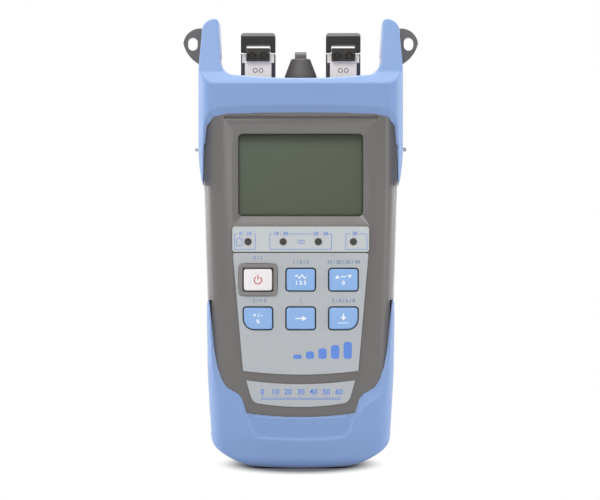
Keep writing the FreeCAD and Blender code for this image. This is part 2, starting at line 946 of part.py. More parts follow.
def lug_outline(grow):
    """One strap lug and the tongue that carries it inside the horn."""
    z, tip = S.lug_level, S.lug_reach + grow
    root = S.head_half - S.horn_thick / 2 - 0.6 - grow
    inner = S.head_half - 1.0
    return [
        at(root, S.case_deck - S.case_wall / 2),
        at(inner - 0.5 + grow, S.case_deck - S.case_wall / 2),
        at(inner - 0.5 + grow, z - 11.5 - grow),
        at(inner + 2.0, z - 8.3 - grow),
        via(tip - 1.8, z - 4.0 - grow / 2),
        at(tip, z + 0.3),
        via(tip - 2.1, z + 4.6 + grow),
        at(inner - 0.6, z + 6.6 + grow),
        at(root, z + 5.4 + grow),
    ]


def lug_solid(name, side, grow):
    """The lug plate, grown a little when it cuts its slot in the horn."""
    grow = as_size(grow)
    body = new_body(name)
    loop = [point if side > 0 else point.flipped() for point in lug_outline(grow)]
    middle, half = S.lug_middle, S.lug_thick / 2 + grow
    return pad(body, "XZ", middle - half, middle + half, loop)


def eye(name, side):
    """The oval eye of a strap lug."""
    body = new_body(name)
    x, r = side * (S.lug_reach - S.lug_rim), S.lug_eye_half
    low, high = S.lug_level - S.lug_eye_long, S.lug_level + S.lug_eye_long
    loop = [at(x - r, low), via(x, low - r), at(x + r, low)]
    loop += [at(x + r, high), via(x, high + r), at(x - r, high)]
    return pad(body, "XZ", -S.reach, S.reach, loop)


def stand_block(word, side):
    """Solid block of the rear shell around one stand pivot."""
    inner, outer = S.stand_inner - 2.4, S.case_shoulder_half - S.case_wall / 2
    low, high = S.stand_pivot_z - 8, S.stand_pivot_z + 6.5
    x_low, x_high = (inner, outer) if side > 0 else (-outer, -inner)
    front, back = S.stand_pivot_y - 6.5, S.case_back + S.case_swell - S.case_wall / 2
    return box(f"stand_block_{word}", x_low, x_high, front, back, low, high)


def stand_slot(word, side):
    """The channel that one stand arm folds into."""
    gap = S.stand_slot_gap
    inner, outer = S.stand_inner - gap, S.stand_outer + gap
    x_low, x_high = (inner, outer) if side > 0 else (-outer, -inner)
    floor = S.stand_pivot_y - S.stand_eye - gap
    top = S.stand_pivot_z + S.stand_eye + gap
    low = S.door_high
    return box(f"stand_slot_{word}", x_low, x_high, floor, S.reach, low, top)


def stand_hole(name, side, radius):
    """A bore along the stand's pivot line on one side."""
    length = S.stand_pin_end - S.stand_inner + 6
    x = S.stand_inner - 2 if side > 0 else -(S.stand_inner - 2) - length
    return rod(name, "x", x, S.stand_pivot_y, S.stand_pivot_z, radius, length)


SIDES = (("left", -1), ("right", 1))


def make_rear_housing(form, cavity):
    """The rear half shell with battery bay, bosses, pivots and strap lugs."""
    shell = shared(
        "rear_shell",
        form,
        box("rear_space", -S.reach, S.reach, 0, S.reach, 0, S.full_height + S.reach),
    )
    hollow = cut("rear_hollowed", shell, cavity)
    wall = S.case_wall
    floor = S.bay_floor - wall
    bay_body = box(
        "bay_body",
        -S.bay_half - wall,
        S.bay_half + wall,
        floor,
        S.case_back - wall / 2,
        S.bay_low - wall,
        S.bay_high + wall,
    )
    door_frame = box(
        "door_frame",
        -S.door_half - wall,
        S.door_half + wall,
        S.case_back - S.door_thick - wall,
        S.case_back - wall / 2,
        S.door_low - wall,
        S.door_high + wall,
    )
    board_back = S.board_thick - S.board_face
    bosses = case_bosses("rear", board_back, lambda z: back_at(z) - wall / 2)
    blocks = [stand_block(word, side) for word, side in SIDES]
    lugs = [lug_solid(f"lug_{word}", side, 0) for word, side in SIDES]
    nut = rod(
        "door_nut",
        "y",
        0,
        S.bay_floor,
        S.door_screw_z,
        S.screw_radius + S.boss_wall,
        S.case_back - S.bay_floor - S.door_thick,
    )
    solid = joined("rear_solid", hollow, bay_body, door_frame, *bosses, *blocks, *lugs, nut)
    bay = box(
        "bay_space", -S.bay_half, S.bay_half, S.bay_floor, S.reach, S.bay_low, S.bay_high
    )
    recess = new_body("door_recess")
    gap = S.fit_gap
    half, low, high = S.door_half + gap, S.door_low - gap, S.door_high + gap
    loop = rectangle(-half, half, low, high, S.door_round + gap)
    pad(recess, "XZ", S.case_back - S.door_thick, S.reach, loop)
    through = [
        rod(f"rear_bore_{word}", "y", x, -S.reach, z, S.screw_radius + gap, S.reach * 2)
        for word, x, z in screw_places()
    ]
    heads = [
        rod(
            f"rear_sink_{word}",
            "y",
            x,
            back_at(z) - S.screw_head_deep,
            z,
            S.screw_head + gap,
            S.reach,
        )
        for word, x, z in screw_places()
    ]
    slots = [stand_slot(word, side) for word, side in SIDES]
    bore = S.stand_pin + S.stand_pin_slack
    pins = [stand_hole(f"rear_pivot_{word}", side, bore) for word, side in SIDES]
    eyes = [eye(f"lug_eye_{word}", side) for word, side in SIDES]
    nut_hole = rod(
        "door_nut_hole",
        "y",
        0,
        S.bay_floor + 2,
        S.door_screw_z,
        S.screw_radius + gap,
        S.reach,
    )
    tools = [bay, recess, *through, *heads, *slots, *pins, *eyes, *deck_holes("rear"), nut_hole]
    return sub_part("rear_housing", cut("rear_housing", solid, *tools))


# ---------------------------------------------------------------- rubber guards


def head_outline():
    """Right half of the upper guard seen from the front, horn and all."""
    half, high, top, tip = S.head_half, S.full_height, S.band_top, S.head_tip
    thick, rise, arm = S.horn_thick, S.horn_rise, S.arm_drop
    inner = half - thick * 1.135
    return [
        at(0, S.case_deck - S.head_skirt),
        at(half - S.head_proud, S.case_deck - S.head_skirt),
        at(half - S.head_proud * 0.83, tip),
        via(half - S.head_proud / 3, tip + arm * 0.21),
        at(half, tip + arm * 0.53),
        at(half, top + rise * 0.08),
        at(half - thick * 0.18, high - rise * 0.27),
        via(half - thick * 0.39, high - rise * 0.067),
        at(half - thick * 0.82, high),
        via(half - thick * 1.07, high - rise * 0.02),
        at(half - thick * 1.15, high - rise * 0.09),
        at(inner - thick * 0.095, top + rise * 0.38),
        via(inner - thick * 0.27, top + rise * 0.11),
        at(inner - thick * 0.76, top),
        via(0, top - S.band_dip),
    ]


def head_window(grow, lip):
    """The opening that frames the case's front, larger towards the face."""
    sill = S.head_sill + S.head_lip * lip
    half = S.case_shoulder_half - S.head_proud / 4 + grow
    turn = S.head_corner
    corner = [
        at(half + S.head_proud / 6, S.head_tip - 1),
        at(half, sill - turn * 1.22),
        at(half - turn * 0.07, sill - turn * 0.53),
        at(half - turn * 0.38, sill - turn * 0.13),
        at(half - turn, sill),
        via(0, sill + turn * 0.08),
    ]
    return mirrored(corner)


def head_side_waste(facing):
    """What the side view takes off the horns, in front or behind."""
    front = facing < 0
    face = S.head_front if front else S.head_back
    tip = S.horn_depth / 2
    crest, far = S.band_crest, S.reach * 2
    return [
        at(facing * face, crest),
        at(facing * (face - S.horn_crease), S.band_top + 1.5, 3),
        at(facing * tip, S.full_height + 1),
        at(facing * tip, far * 2),
        at(facing * far, far * 2),
        at(facing * far, crest),
    ]


def make_top_guard(form):
    """The upper rubber guard: a band, two side arms and two horns."""
    body = new_body("head_form")
    pad(body, "XZ", -S.head_front, S.head_back, mirrored(head_outline()))
    for facing in (-1, 1):
        pocket(body, "YZ", -S.reach, S.reach, head_side_waste(facing))
    front_levels = (-S.head_front - S.skim, -S.case_front)
    loft_cut(body, "XZ", front_levels, (head_window(1.0, 1), head_window(0, 0)))
    pocket(body, "XZ", -S.case_front, S.reach, head_window(0, 0))
    pocket(body, "YZ", -S.reach, S.reach, arm_waste())
    section = new_body("head_section")
    half = S.head_half + S.skim
    outline = rectangle(-half, half, -S.head_front, S.head_back, S.head_round)
    pad(section, "XY", 0, S.full_height + S.reach, outline)
    rounded = shared("head_rounded", body, section)
    lugs = [lug_solid(f"lug_slot_{word}", side, S.fit_gap) for word, side in SIDES]
    pins = [
        stand_hole(f"guard_pivot_{word}", side, S.stand_pin + S.fit_gap)
        for word, side in SIDES
    ]
    well = port_wells()
    return sub_part("top_guard", cut("top_guard", rounded, form, *lugs, *pins, *well))


def arm_waste():
    """What sweeps the side arms' lower edges up towards the back."""
    tip, back = S.head_tip, S.head_back + 1
    start = S.arm_sweep_start - S.head_front
    return [
        at(start, tip),
        via(start / 2 + back / 2, tip + S.arm_sweep * 0.7),
        at(back, tip + S.arm_sweep),
        at(back, tip - S.arm_sweep),
        at(start, tip - S.arm_sweep),
    ]


def port_wells():
    """Openings of the band's top around the three ports."""
    gap = S.fit_gap * 2
    for word, side in SIDES:
        x = side * S.port_offset
        yield box(
            f"guard_well_{word}",
            x - S.port_half - gap,
            x + S.port_half + gap,
            -S.port_deep - S.shield_thick - gap,
            S.port_deep + gap,
            S.case_deck - S.case_wall,
            S.full_height + S.reach,
        )
    radius = S.laser_flange + gap
    yield rod("guard_well_centre", "z", 0, 0, S.case_deck - S.case_wall, radius, S.reach)


def foot_outline():
    """Right half of the lower guard seen from the front."""
    return [
        at(0, 0),
        at(S.foot_flat_half, 0),
        via(S.foot_flat_half + S.foot_flat_run, S.foot_flat_lift),
        at(S.foot_corner_half, S.foot_corner_rise),
        via(S.foot_low_half - 0.7, S.foot_corner_rise + S.foot_corner_bulge),
        at(S.foot_low_half, S.foot_low_level),
        via(S.foot_top_half - 0.5, S.foot_top - S.foot_bulge_drop),
        at(S.foot_top_half, S.foot_top - 11),
        at(S.foot_top_half - 0.3, S.foot_top),
        at(0, S.foot_top),
    ]


def foot_window(ridge):
    """The lower guard's opening: its inner rim, or its ridge line.

    Each corner is a share of the half width in from the side and a share
    of the window's height up from the sill.
    """
    half, sill, tall = S.foot_top_half, S.foot_sill, S.foot_top - S.foot_sill
    if ridge:
        corners = [
            (0.0226, 1.02),
            (0.0176, 0.556),
            (0.0377, 0.401),
            (0.0905, 0.272),
            (0.156, 0.2),
            (0.276, 0.129),
            (0.342, 0.093),
            (0.377, 0.024),
        ]
        middle = sill
    else:
        corners = [
            (0.0276, 1.02),
            (0.0854, 0.581),
            (0.121, 0.431),
            (0.168, 0.337),
            (0.221, 0.268),
            (0.347, 0.21),
            (0.387, 0.167),
            (0.432, 0.044),
        ]
        middle = sill + tall * 0.01
    rim = [at(half * (1 - inset), sill + tall * rise) for inset, rise in corners]
    return mirrored([*rim, via(0, middle)])


def foot_facet(inset):
    """The flat facet under the lower guard's sill, drawn in by the inset."""
    half, sill, tall = S.foot_facet_half - inset, S.foot_sill - inset / 2, S.foot_facet_tall
    return mirrored(
        [
            at(half, sill + tall * 0.16),
            at(half - tall * 0.22, sill + inset - tall * 0.68),
            at(half - tall * 0.5, sill + inset - tall * 0.9),
            via(0, sill + inset - tall),
        ]
    )


def make_bottom_guard(form):
    """The lower rubber guard, a boot that the meter stands on."""
    body = new_body("foot_form")
    pad(body, "XZ", -S.foot_front, S.foot_back, mirrored(foot_outline()))
    front_levels = (-S.foot_front - S.skim, -S.case_front)
    loft_cut(body, "XZ", front_levels, (foot_window(True), foot_window(False)))
    pocket(body, "XZ", -S.case_front, S.reach, foot_window(False))
    facet = new_body("foot_facet")
    levels = (-S.foot_front - S.skim, S.foot_facet_deep - S.foot_front)
    loft(facet, "XZ", levels, (foot_facet(0), foot_facet(S.foot_facet_deep)))
    section = new_body("foot_section")
    widths = (S.foot_low_half - S.foot_seat / 4, S.foot_top_half - S.foot_seat / 5)
    levels = (-S.skim, S.foot_top - S.foot_bulge_drop, S.foot_top + 1)
    front, back, turn = -S.foot_front - S.skim * 2, S.foot_back, S.foot_round
    loops = [
        rectangle(-half, half, front, back, turn) for half in (*widths, S.foot_top_half + S.skim)
    ]
    loft(section, "XY", levels, loops)
    profile = new_body("foot_profile")
    turn = S.foot_under_round
    loop = [
        at(front, 0, turn),
        at(back, 0, turn),
        at(back, S.foot_top + 1),
        at(front, S.foot_top + 1),
    ]
    pad(profile, "YZ", -S.reach, S.reach, loop)
    rounded = shared("foot_rounded", body, section, profile)
    return sub_part("bottom_guard", cut("bottom_guard", rounded, form, facet))


# ---------------------------------------------------------------- display


def plate(name, plane, low, high, *loops):
    """A flat sub-part cut from sheet or moulded in one thickness."""
    return sub_part(name, pad(new_body(name), plane, low, high, *loops))


def make_display():
    """Lens, liquid crystal glass and the backlight block behind the window."""
    lens_front = S.case_wall - S.case_front
    lap = S.lens_lap
    half, low, high = S.screen_half + lap, S.screen_low - lap, S.screen_high + lap
    glass_front = lens_front + S.lens_thick
    light_front = glass_front + S.glass_thick
    outline = rectangle(-half, half, low, high, 1.0)
    plate("display_lens", "XZ", lens_front, glass_front, outline)
    outline = rectangle(-half, half, low, high)
    plate("display_glass", "XZ", glass_front, light_front, outline)
    plate("display_backlight", "XZ", light_front, -S.board_face, outline)


def make_panels():
    """The three pale panels stuck on the case's front face."""
    face = -S.case_front
    half, low, high = S.light_panel_half, S.light_panel_low, S.light_panel_high
    rings = [Circle(x, S.light_level, S.light_radius + S.fit_gap) for _, x in light_places()]
    outline = rectangle(-half, half, low, high, S.panel_round)
    plate("indicator_panel", "XZ", face - S.light_panel_thick, face, outline, *rings)
    outline = mirrored(
        [
            at(0, S.key_panel_high),
            at(S.key_panel_top_half, S.key_panel_high, S.panel_round),
            at(S.key_panel_low_half, S.key_panel_low),
            via(0, S.key_panel_low - S.key_panel_sag),
        ]
    )
    gap = S.fit_gap
    holes = []
    for name, x, z, swept in key_columns():
        shrink = -S.power_frame - gap if name == "power_button" else 0
        holes.append(key_loop(x, z, shrink, swept))
    plate("keypad_panel", "XZ", face - S.key_panel_thick, face, outline, *holes)
    bend = S.plate_round
    outline = mirrored(
        [
            via(0, S.plate_high - S.plate_sag),
            at(S.plate_top_half, S.plate_high),
            at(S.plate_low_half + bend / 4, S.plate_low + bend),
            via(S.plate_low_half - bend / 4, S.plate_low + bend / 5),
            at(S.plate_low_half - bend, S.plate_low - bend / 10),
            via(0, S.plate_low - S.plate_sag),
        ]
    )
    plate("name_plate", "XZ", face - S.plate_thick, face, outline)


# ---------------------------------------------------------------- keypad


def make_keys():
    """Six key caps with their flanges, the power key's frame and the mat."""
    face, panel = -S.case_front, -S.case_front - S.key_panel_thick
    flange_front = face + S.case_wall + S.fit_gap
    flange_back = flange_front + S.key_flange
    domes = []
    for name, x, z, swept in key_columns():
        framed = name == "power_button"
        proud = S.power_frame_proud + S.key_proud / 2 if framed else S.key_proud
        cap = new_body(name)
        loop = key_loop(x, z, S.key_gap, swept)
        pad(cap, "XZ", panel - proud, flange_front, loop)
        rim = -S.key_lip
        pad(cap, "XZ", flange_front, flange_back, key_loop(x, z, rim, 0))
        sub_part(name, cap)
        dome_top = flange_back + S.key_travel + S.fit_gap
        length = -S.board_face - S.mat_thick - dome_top + S.mat_thick / 2
        domes.append(rod(f"dome_{name}", "y", x, dome_top, z, S.dome_radius, length))
    x, z = -S.key_pitch, S.key_upper
    frame = new_body("power_frame")
    outer = key_loop(x, z, -S.power_frame, 0)
    pad(frame, "XZ", panel - S.power_frame_proud, face, outer, key_loop(x, z, 0, 0))
    sub_part("power_frame", frame)
    wide = S.key_pitch + S.key_hole_wide / 2
    sheet_low = S.key_lower - S.key_hole_tall / 2
    sheet_high = S.key_upper + S.key_hole_tall / 2
    back = -S.board_face
    sheet = new_body("mat_sheet")
    outline = rectangle(-wide, wide, sheet_low, sheet_high, 2.0)
    pad(sheet, "XZ", back - S.mat_thick, back, outline)
    sub_part("keypad_mat", joined("keypad_mat", sheet, *domes))


def turned(name, x, y, half_profile):
    """A turned sub-part about an upright axis, from its half section."""
    body = new_body(name)
    sketch = new_sketch(body, "XZ", 0, [half_profile])
    feature = body.newObject("PartDesign::Revolution", f"{name}_turn")
    feature.Profile = sketch
    feature.ReferenceAxis = (sketch, ["V_Axis"])
    feature.Angle = 360
    body.Tip = feature
    return move(body, x, y, 0)


def make_light_rods():
    """Four indicator lights, collared rods that stand on the circuit board."""
    back = -S.board_face
    collar_front = back - S.light_collar_long
    front = -S.case_front - S.light_panel_thick - S.light_proud
    for number, x in light_places():
        name = f"indicator_light_{number}"
        radius, z = S.light_radius, S.light_level
        stem = rod(f"{name}_stem", "y", x, front, z, radius, collar_front - front)
        wide = radius + S.light_collar
        foot = rod(f"{name}_foot", "y", x, collar_front, z, wide, S.light_collar_long)
        sub_part(name, joined(name, stem, foot))


def make_board():
    """The main circuit board, held between the front and rear bosses."""
    low, high = S.board_low, S.board_high
    half = S.foot_low_half - S.foot_seat - S.case_wall - S.board_margin
    holes = [Circle(x, z, S.screw_radius + S.fit_gap) for _, x, z in screw_places()]
    outline = rectangle(-half, half, low, high, S.board_round)
    front = -S.board_face
    plate("main_board", "XZ", front, front + S.board_thick, outline, *holes)


def screw(name, x, tip_y, z, shank, head_radius, seat, head_high):
    """A cap screw along Y: shank from its tip to its seat, then its head."""
    body = doc.addObject("Part::MultiFuse", name)
    body.Shapes = [
        rod(f"{name}_shank", "y", x, tip_y, z, shank, as_size(seat) - tip_y),
        rod(f"{name}_head", "y", x, seat, z, head_radius, head_high),
    ]
    socket = new_body(f"{name}_socket")
    half, slot = head_radius - S.screw_slot, S.screw_slot
    groove = rectangle(x - half, x + half, z - slot, z + slot)
    pad(socket, "XZ", as_size(seat) + as_size(head_high) / 2, S.reach, groove)
    return cut(f"{name}_slotted", body, socket)


def make_case_screws():
    """The four screws that close the case, sunk in its back."""
    screws = []
    for word, x, z in screw_places():
        tip = S.case_wall * 2 - S.case_front
        seat = back_at(z) - S.screw_head_deep
        high = S.screw_head_deep / 2
        name = f"case_screw_{word}"
        shank, head = S.screw_radius, S.screw_head
        screws.append(screw(name, x, tip, z, shank, head, seat, high))
    return sub_part("case_screws", group("case_screws", *screws))


# ---------------------------------------------------------------- ports


def make_port(word, side):
    """One optical port: body, nickel shield, hinge, dust cap and detector."""
    x = side * S.port_offset
    deck, high = S.case_deck, S.port_high
    wide, deep = S.port_half, S.port_deep
    block = box(f"{word}_port_block", x - wide, x + wide, -deep, deep, deck, high)
    spigot_low = deck - S.case_wall
    sleeve_low, sleeve_high = deck + S.port_floor, high - S.port_mouth
    sleeve_radius = S.port_bore + S.sleeve_wall
    spigot = rod(f"{word}_port_spigot", "z", x, 0, spigot_low, S.port_spigot, S.case_wall * 1.5)
    seat = rod(f"{word}_port_seat", "z", x, 0, sleeve_low, sleeve_radius, S.reach)
    throat = rod(f"{word}_port_throat", "z", x, 0, spigot_low - 1, S.port_throat, S.reach)
    half = S.port_mouth_half
    top = high + S.port_mouth
    mouth = box(f"{word}_port_mouth", x - half, x + half, -half, half, sleeve_high, top)
    solid = joined(f"{word}_port_solid", block, spigot)
    sub_part(f"{word}_port", cut(f"{word}_port", solid, seat, throat, mouth))
    shield = new_body(f"{word}_port_shield")
    wide, narrow = S.shield_wide_half, S.shield_narrow_half
    loop = mirrored(
        [
            at(0, S.shield_low),
            at(narrow, S.shield_low),
            at(narrow, S.shield_step),
            at(wide, S.shield_step),
            at(wide, high),
            at(0, high),
        ]
    )
    pad(shield, "XZ", -S.port_face, -S.port_deep, loop)
    sub_part(f"{word}_port_shield", move(shield, x, 0, 0))
    tube_long = sleeve_high - sleeve_low
    sleeve = cut(
        f"{word}_port_sleeve",
        rod(f"{word}_sleeve_outer", "z", x, 0, sleeve_low, sleeve_radius, tube_long),
        rod(f"{word}_sleeve_bore", "z", x, 0, sleeve_low - 1, S.port_bore, S.reach),
    )
    sub_part(f"{word}_port_sleeve", sleeve)
    low = S.module_low
    module = rod(f"{word}_detector", "z", x, 0, low, S.module_radius, spigot_low - low)
    sub_part(f"{word}_detector", module)
    make_hinge(word, x)
    make_dust_cap(word, x)


def make_hinge(word, x):
    """The hinge block on the port's shield, with its pin and two screws."""
    y_axis, z_axis = S.hinge_axis_y, S.hinge_axis_z
    back = -S.port_face
    block = new_body(f"{word}_hinge_block")
    r = S.hinge_knuckle
    loop = [
        at(-S.hinge_face, S.hinge_low),
        at(back, S.hinge_low),
        at(back, z_axis - S.hinge_stand_off),
        at(y_axis + r, z_axis),
        via(y_axis, z_axis + r),
        at(y_axis - r, z_axis),
        at(-S.hinge_face, z_axis - S.hinge_knuckle - S.hinge_screw_sink),
    ]
    pad(block, "YZ", -S.hinge_half, S.hinge_half, loop)
    pocket(block, "YZ", -S.reach, S.reach, Circle(y_axis, z_axis, S.hinge_pin + S.hinge_slack))
    pits = [
        Circle(side * S.hinge_screw_x, S.hinge_screw_z, S.hinge_screw_head + S.fit_gap)
        for side in (-1, 1)
    ]
    pocket(block, "XZ", -S.hinge_face - 1, S.hinge_screw_seat - S.hinge_face, *pits)
    sub_part(f"{word}_hinge_block", move(block, x, 0, 0))
    half = S.port_half
    pin = rod(f"{word}_hinge_pin", "x", x - half, y_axis, z_axis, S.hinge_pin, half * 2)
    sub_part(f"{word}_hinge_pin", pin)
    heads = [
        rod(
            f"{word}_rivet_{number}",
            "y",
            x + side * S.hinge_screw_x,
            S.hinge_screw_sink - S.hinge_face,
            S.hinge_screw_z,
            S.hinge_screw_head,
            S.hinge_screw_seat - S.hinge_screw_sink,
        )
        for number, side in ((1, -1), (2, 1))
    ]
    sub_part(f"{word}_hinge_rivets", group(f"{word}_hinge_rivets", *heads))


def make_dust_cap(word, x):
    """The hinged dust cap, tunnelled underneath so that it clears the hinge."""
    y_axis, z_axis = S.hinge_axis_y, S.hinge_axis_z
    r = S.hinge_knuckle
    cap = new_body(f"{word}_dust_cap")
    front, back, high = y_axis - r, S.cap_back, S.cap_high
    bevel = S.cap_bevel
    loop = [
        at(front, z_axis),
        via(y_axis, z_axis - r),
        at(y_axis + r, z_axis - S.cap_rest),
        at(back, z_axis - S.cap_rest),
        at(back, high - bevel),
        at(back - bevel, high),
        at(front + bevel * 1.6, high),
        at(front, high - bevel),
    ]
    pad(cap, "YZ", -S.port_half, S.port_half, loop)
    tunnel = S.hinge_half + S.cap_side_gap
    low = z_axis - r - 1
    pocket(cap, "XZ", -S.reach, S.reach, rectangle(-tunnel, tunnel, low, S.cap_tunnel))
    corner, arc = S.port_half - bevel, bevel * (1 - math.sqrt(0.5))
    for side in (-1, 1):
        waste = [
            at(side * corner, high + S.skim),
            via(side * (S.port_half - arc), high - arc),
            at(side * (S.port_half + S.skim), high - bevel),
            at(side * (S.port_half + 1), high - bevel),
            at(side * (S.port_half + 1), high + 1),
            at(side * corner, high + 1),
        ]
        pocket(cap, "XZ", -S.reach, S.reach, waste)
    hole = Circle(y_axis, z_axis, S.hinge_pin + S.hinge_slack)
    pocket(cap, "YZ", -S.reach, S.reach, hole)
    sub_part(f"{word}_dust_cap", move(cap, x, 0, 0))


def make_laser_port():
    """The light source's port between the two others, with its rubber cap."""
    deck, neck = S.case_deck, S.laser_neck
    low = S.module_low
    socket = turned(
        "laser_port",
        0,
        0,
        [
            at(0, deck - S.case_wall),
            at(neck, deck - S.case_wall),
            at(neck, deck),
            at(S.laser_flange, deck),
            at(S.laser_flange, deck + S.laser_flange_thick),
            at(neck, deck + S.laser_flange_thick),
            at(neck, S.laser_high - S.laser_bevel),
            at(neck - S.laser_bevel, S.laser_high),
            at(S.port_bore, S.laser_high),
            at(S.port_bore, deck + S.port_floor),
            at(0, deck + S.port_floor),
        ],
    )
    sub_part("laser_port", socket)
    source = rod("laser_module", "z", 0, 0, low, S.module_radius - 1, deck - S.case_wall - low)
    sub_part("laser_module", source)
    gap = S.fit_gap
    seat = deck + S.laser_flange_thick + gap
    brim = S.band_top - S.band_dip + gap
    skirt = brim + S.laser_cap_skirt
    cone = turned(
        "laser_cap_cone",
        0,
        0,
        [
            at(neck + gap, seat),
            at(S.laser_flange, seat),
            at(S.laser_flange, brim),
            at(S.laser_cap_foot, brim),
            at(S.laser_cap_foot, skirt),
            at(S.laser_cap_top, S.laser_cap_high, S.laser_cap_round),
            at(0, S.laser_cap_high),
            at(0, S.laser_high + gap),
            at(neck + gap, S.laser_high + gap),
        ],
    )
    loop = new_body("laser_cap_loop")
    r, top = S.loop_radius, S.loop_high
    arch = [
        at(r, S.laser_high + S.laser_bevel),
        at(r, top - r),
        via(0, top),
        at(-r, top - r),
        at(-r, S.laser_high + S.laser_bevel),
    ]
    hole = Circle(0, top - r, S.loop_hole)
    pad(loop, "YZ", -S.loop_half, S.loop_half, arch, hole)
    sub_part("laser_port_cap", joined("laser_port_cap", cone, loop))


# ---------------------------------------------------------------- battery bay


def cell_places():
    """The three cell places, as (number, x, which end its nub points to)."""
    for number, step, up in ((1, -1, True), (2, 0, False), (3, 1, True)):
        yield number, step * S.cell_pitch, up


def cell_level():
    """How far behind the parting plane the cells' axes lie."""
    return S.bay_floor + S.cell_radius + S.fit_gap


def make_cells():
    """Three round cells side by side, each with its raised contact."""
    for number, x, up in cell_places():
        name = f"battery_cell_{number}"
        low, long = S.cell_low, S.cell_long - S.cell_nub
        can_low = low if up else low + S.cell_nub
        nub_low = low + long if up else low
        y = cell_level()
        can = rod(f"{name}_can", "z", x, y, can_low, S.cell_radius, long)
        nub = rod(f"{name}_nub", "z", x, y, nub_low, S.cell_nub_radius, S.cell_nub)
        sub_part(name, joined(name, can, nub))


def make_contacts():
    """Bent leaf contacts at both ends of the battery bay."""
    leaves = []
    y, thick = cell_level(), S.contact_thick
    deep, half, near = S.cell_radius * 0.75, S.cell_radius * 0.45, S.fit_gap
    ends = (
        ("low", S.bay_low, 1, S.cell_low - near),
        ("high", S.bay_high, -1, S.cell_low + S.cell_long + near),
    )
    for number, x, _ in cell_places():
        for end, wall, sign, tip in ends:
            leaf = new_body(f"contact_{end}_{number}")
            loop = [
                at(y - deep, wall),
                at(y + deep, wall),
                at(y + deep, wall + sign * thick),
                at(y - deep + thick * 3, wall + sign * thick),
                at(y + thick, tip - sign * near),
                at(y + thick, tip),
                at(y - thick, tip),
                at(y - deep, wall + sign * thick * 2),
            ]
            leaves.append(move(pad(leaf, "YZ", -half, half, loop), x, 0, 0))
    sub_part("battery_contacts", group("battery_contacts", *leaves))


def make_door():
    """The battery door, a ribbed plate held by one screw."""
    back = S.case_back
    door = new_body("battery_door")
    low, high, half = S.door_low, S.door_high, S.door_half
    seat = back - S.door_thick
    pad(door, "XZ", seat, back, rectangle(-half, half, low, high, S.door_round))
    grip_half, first = half - S.door_head, low + S.door_groove_pitch * 2
    grooves = []
    for count in range(4):
        z = first + S.door_groove_pitch * count
        grooves.append(rectangle(-grip_half, grip_half, z, z + S.door_groove))
    pocket(door, "XZ", back - S.door_groove_depth, back + 1, *grooves)
    head, z, gap = S.screw_head + S.door_screw_flange, S.door_screw_z, S.fit_gap
    sunk = back - S.door_thick / 2
    pocket(door, "XZ", seat - 1, back + 1, Circle(0, z, S.screw_radius + gap))
    pocket(door, "XZ", sunk, back + 1, Circle(0, z, head + gap))
    sub_part("battery_door", door)
    tip, high = seat - S.door_screw_long, S.door_thick / 2 - S.fit_gap
    fixing = screw("door_screw", 0, tip, z, S.screw_radius, head, sunk, high)
    sub_part("door_screw", fixing)


# ---------------------------------------------------------------- tilt stand


def make_stand():
    """The U-shaped tilt stand and the two pins it turns on."""
    inner, outer, low = S.stand_inner, S.stand_outer, S.stand_low
    y, z, half = S.stand_pivot_y, S.stand_pivot_z, S.stand_thick / 2
    top, bar = z + S.stand_eye, low + S.stand_bar
    stand = new_body("stand_form")
    loop = [
        at(-outer, top),
        at(-outer, low, S.stand_arm),
        at(outer, low, S.stand_arm),
        at(outer, top),
        at(inner, top),
        at(inner, bar, S.stand_arm / 2),
        at(-inner, bar, S.stand_arm / 2),
        at(-inner, top),
    ]
    pad(stand, "XZ", y - half, y + half, loop)
    wide, above = S.stand_eye + 1, top + 1
    waste = [
        at(y - wide, z),
        at(y - half, z),
        via(y, z + half),
        at(y + half, z),
        at(y + wide, z),
        at(y + wide, above),
        at(y - wide, above),
    ]
    pocket(stand, "YZ", -S.reach, S.reach, waste)
    bore = S.stand_pin + S.stand_pin_slack
    bores = [stand_hole(f"stand_bore_{word}", side, bore) for word, side in SIDES]
    sub_part("tilt_stand", cut("tilt_stand", stand, *bores))
    for word, side in SIDES:
        length = S.stand_pin_end - S.stand_inner
        x = S.stand_inner if side > 0 else -S.stand_pin_end
        name = f"stand_pin_{word}"
        sub_part(name, rod(name, "x", x, y, z, S.stand_pin, length))


# ---------------------------------------------------------------- assembly


def check_document():
    """Stop before writing anything if an object or a sub-part is broken."""
    doc.recompute()
    for item in doc.Objects:
        if "Invalid" in item.State or "Error" in item.State:
            raise ValueError(f"{item.Label} is {item.State}")
    for name, item in parts.items():
        shape = item.Shape
        if shape.isNull() or not shape.isValid() or not shape.Solids:
            raise ValueError(f"{name} has no valid solid")


def main():
    form = make_case_form()
    cavity = make_cavity()
    make_front_housing(form, cavity)
    make_rear_housing(form, cavity)
    make_top_guard(form)
    make_bottom_guard(form)
    make_display()
    make_panels()
    make_keys()
    make_light_rods()
    make_board()
    make_case_screws()
    for word, side in SIDES:
        make_port(word, side)
    make_laser_port()
    make_cells()
    make_contacts()
    make_door()
    make_stand()
    check_document()
    os.makedirs("parts", exist_ok=True)
    for name, item in parts.items():
        item.Shape.exportStep(f"parts/{name}.step")
        print(f"{name:24s} {len(item.Shape.Solids)} solid(s) {item.Shape.Volume:9.1f} mm3")


main()
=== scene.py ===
"""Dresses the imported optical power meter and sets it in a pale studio."""

import json
import logging
import math
from dataclasses import dataclass, field
from enum import Enum
from typing import Callable, Sequence

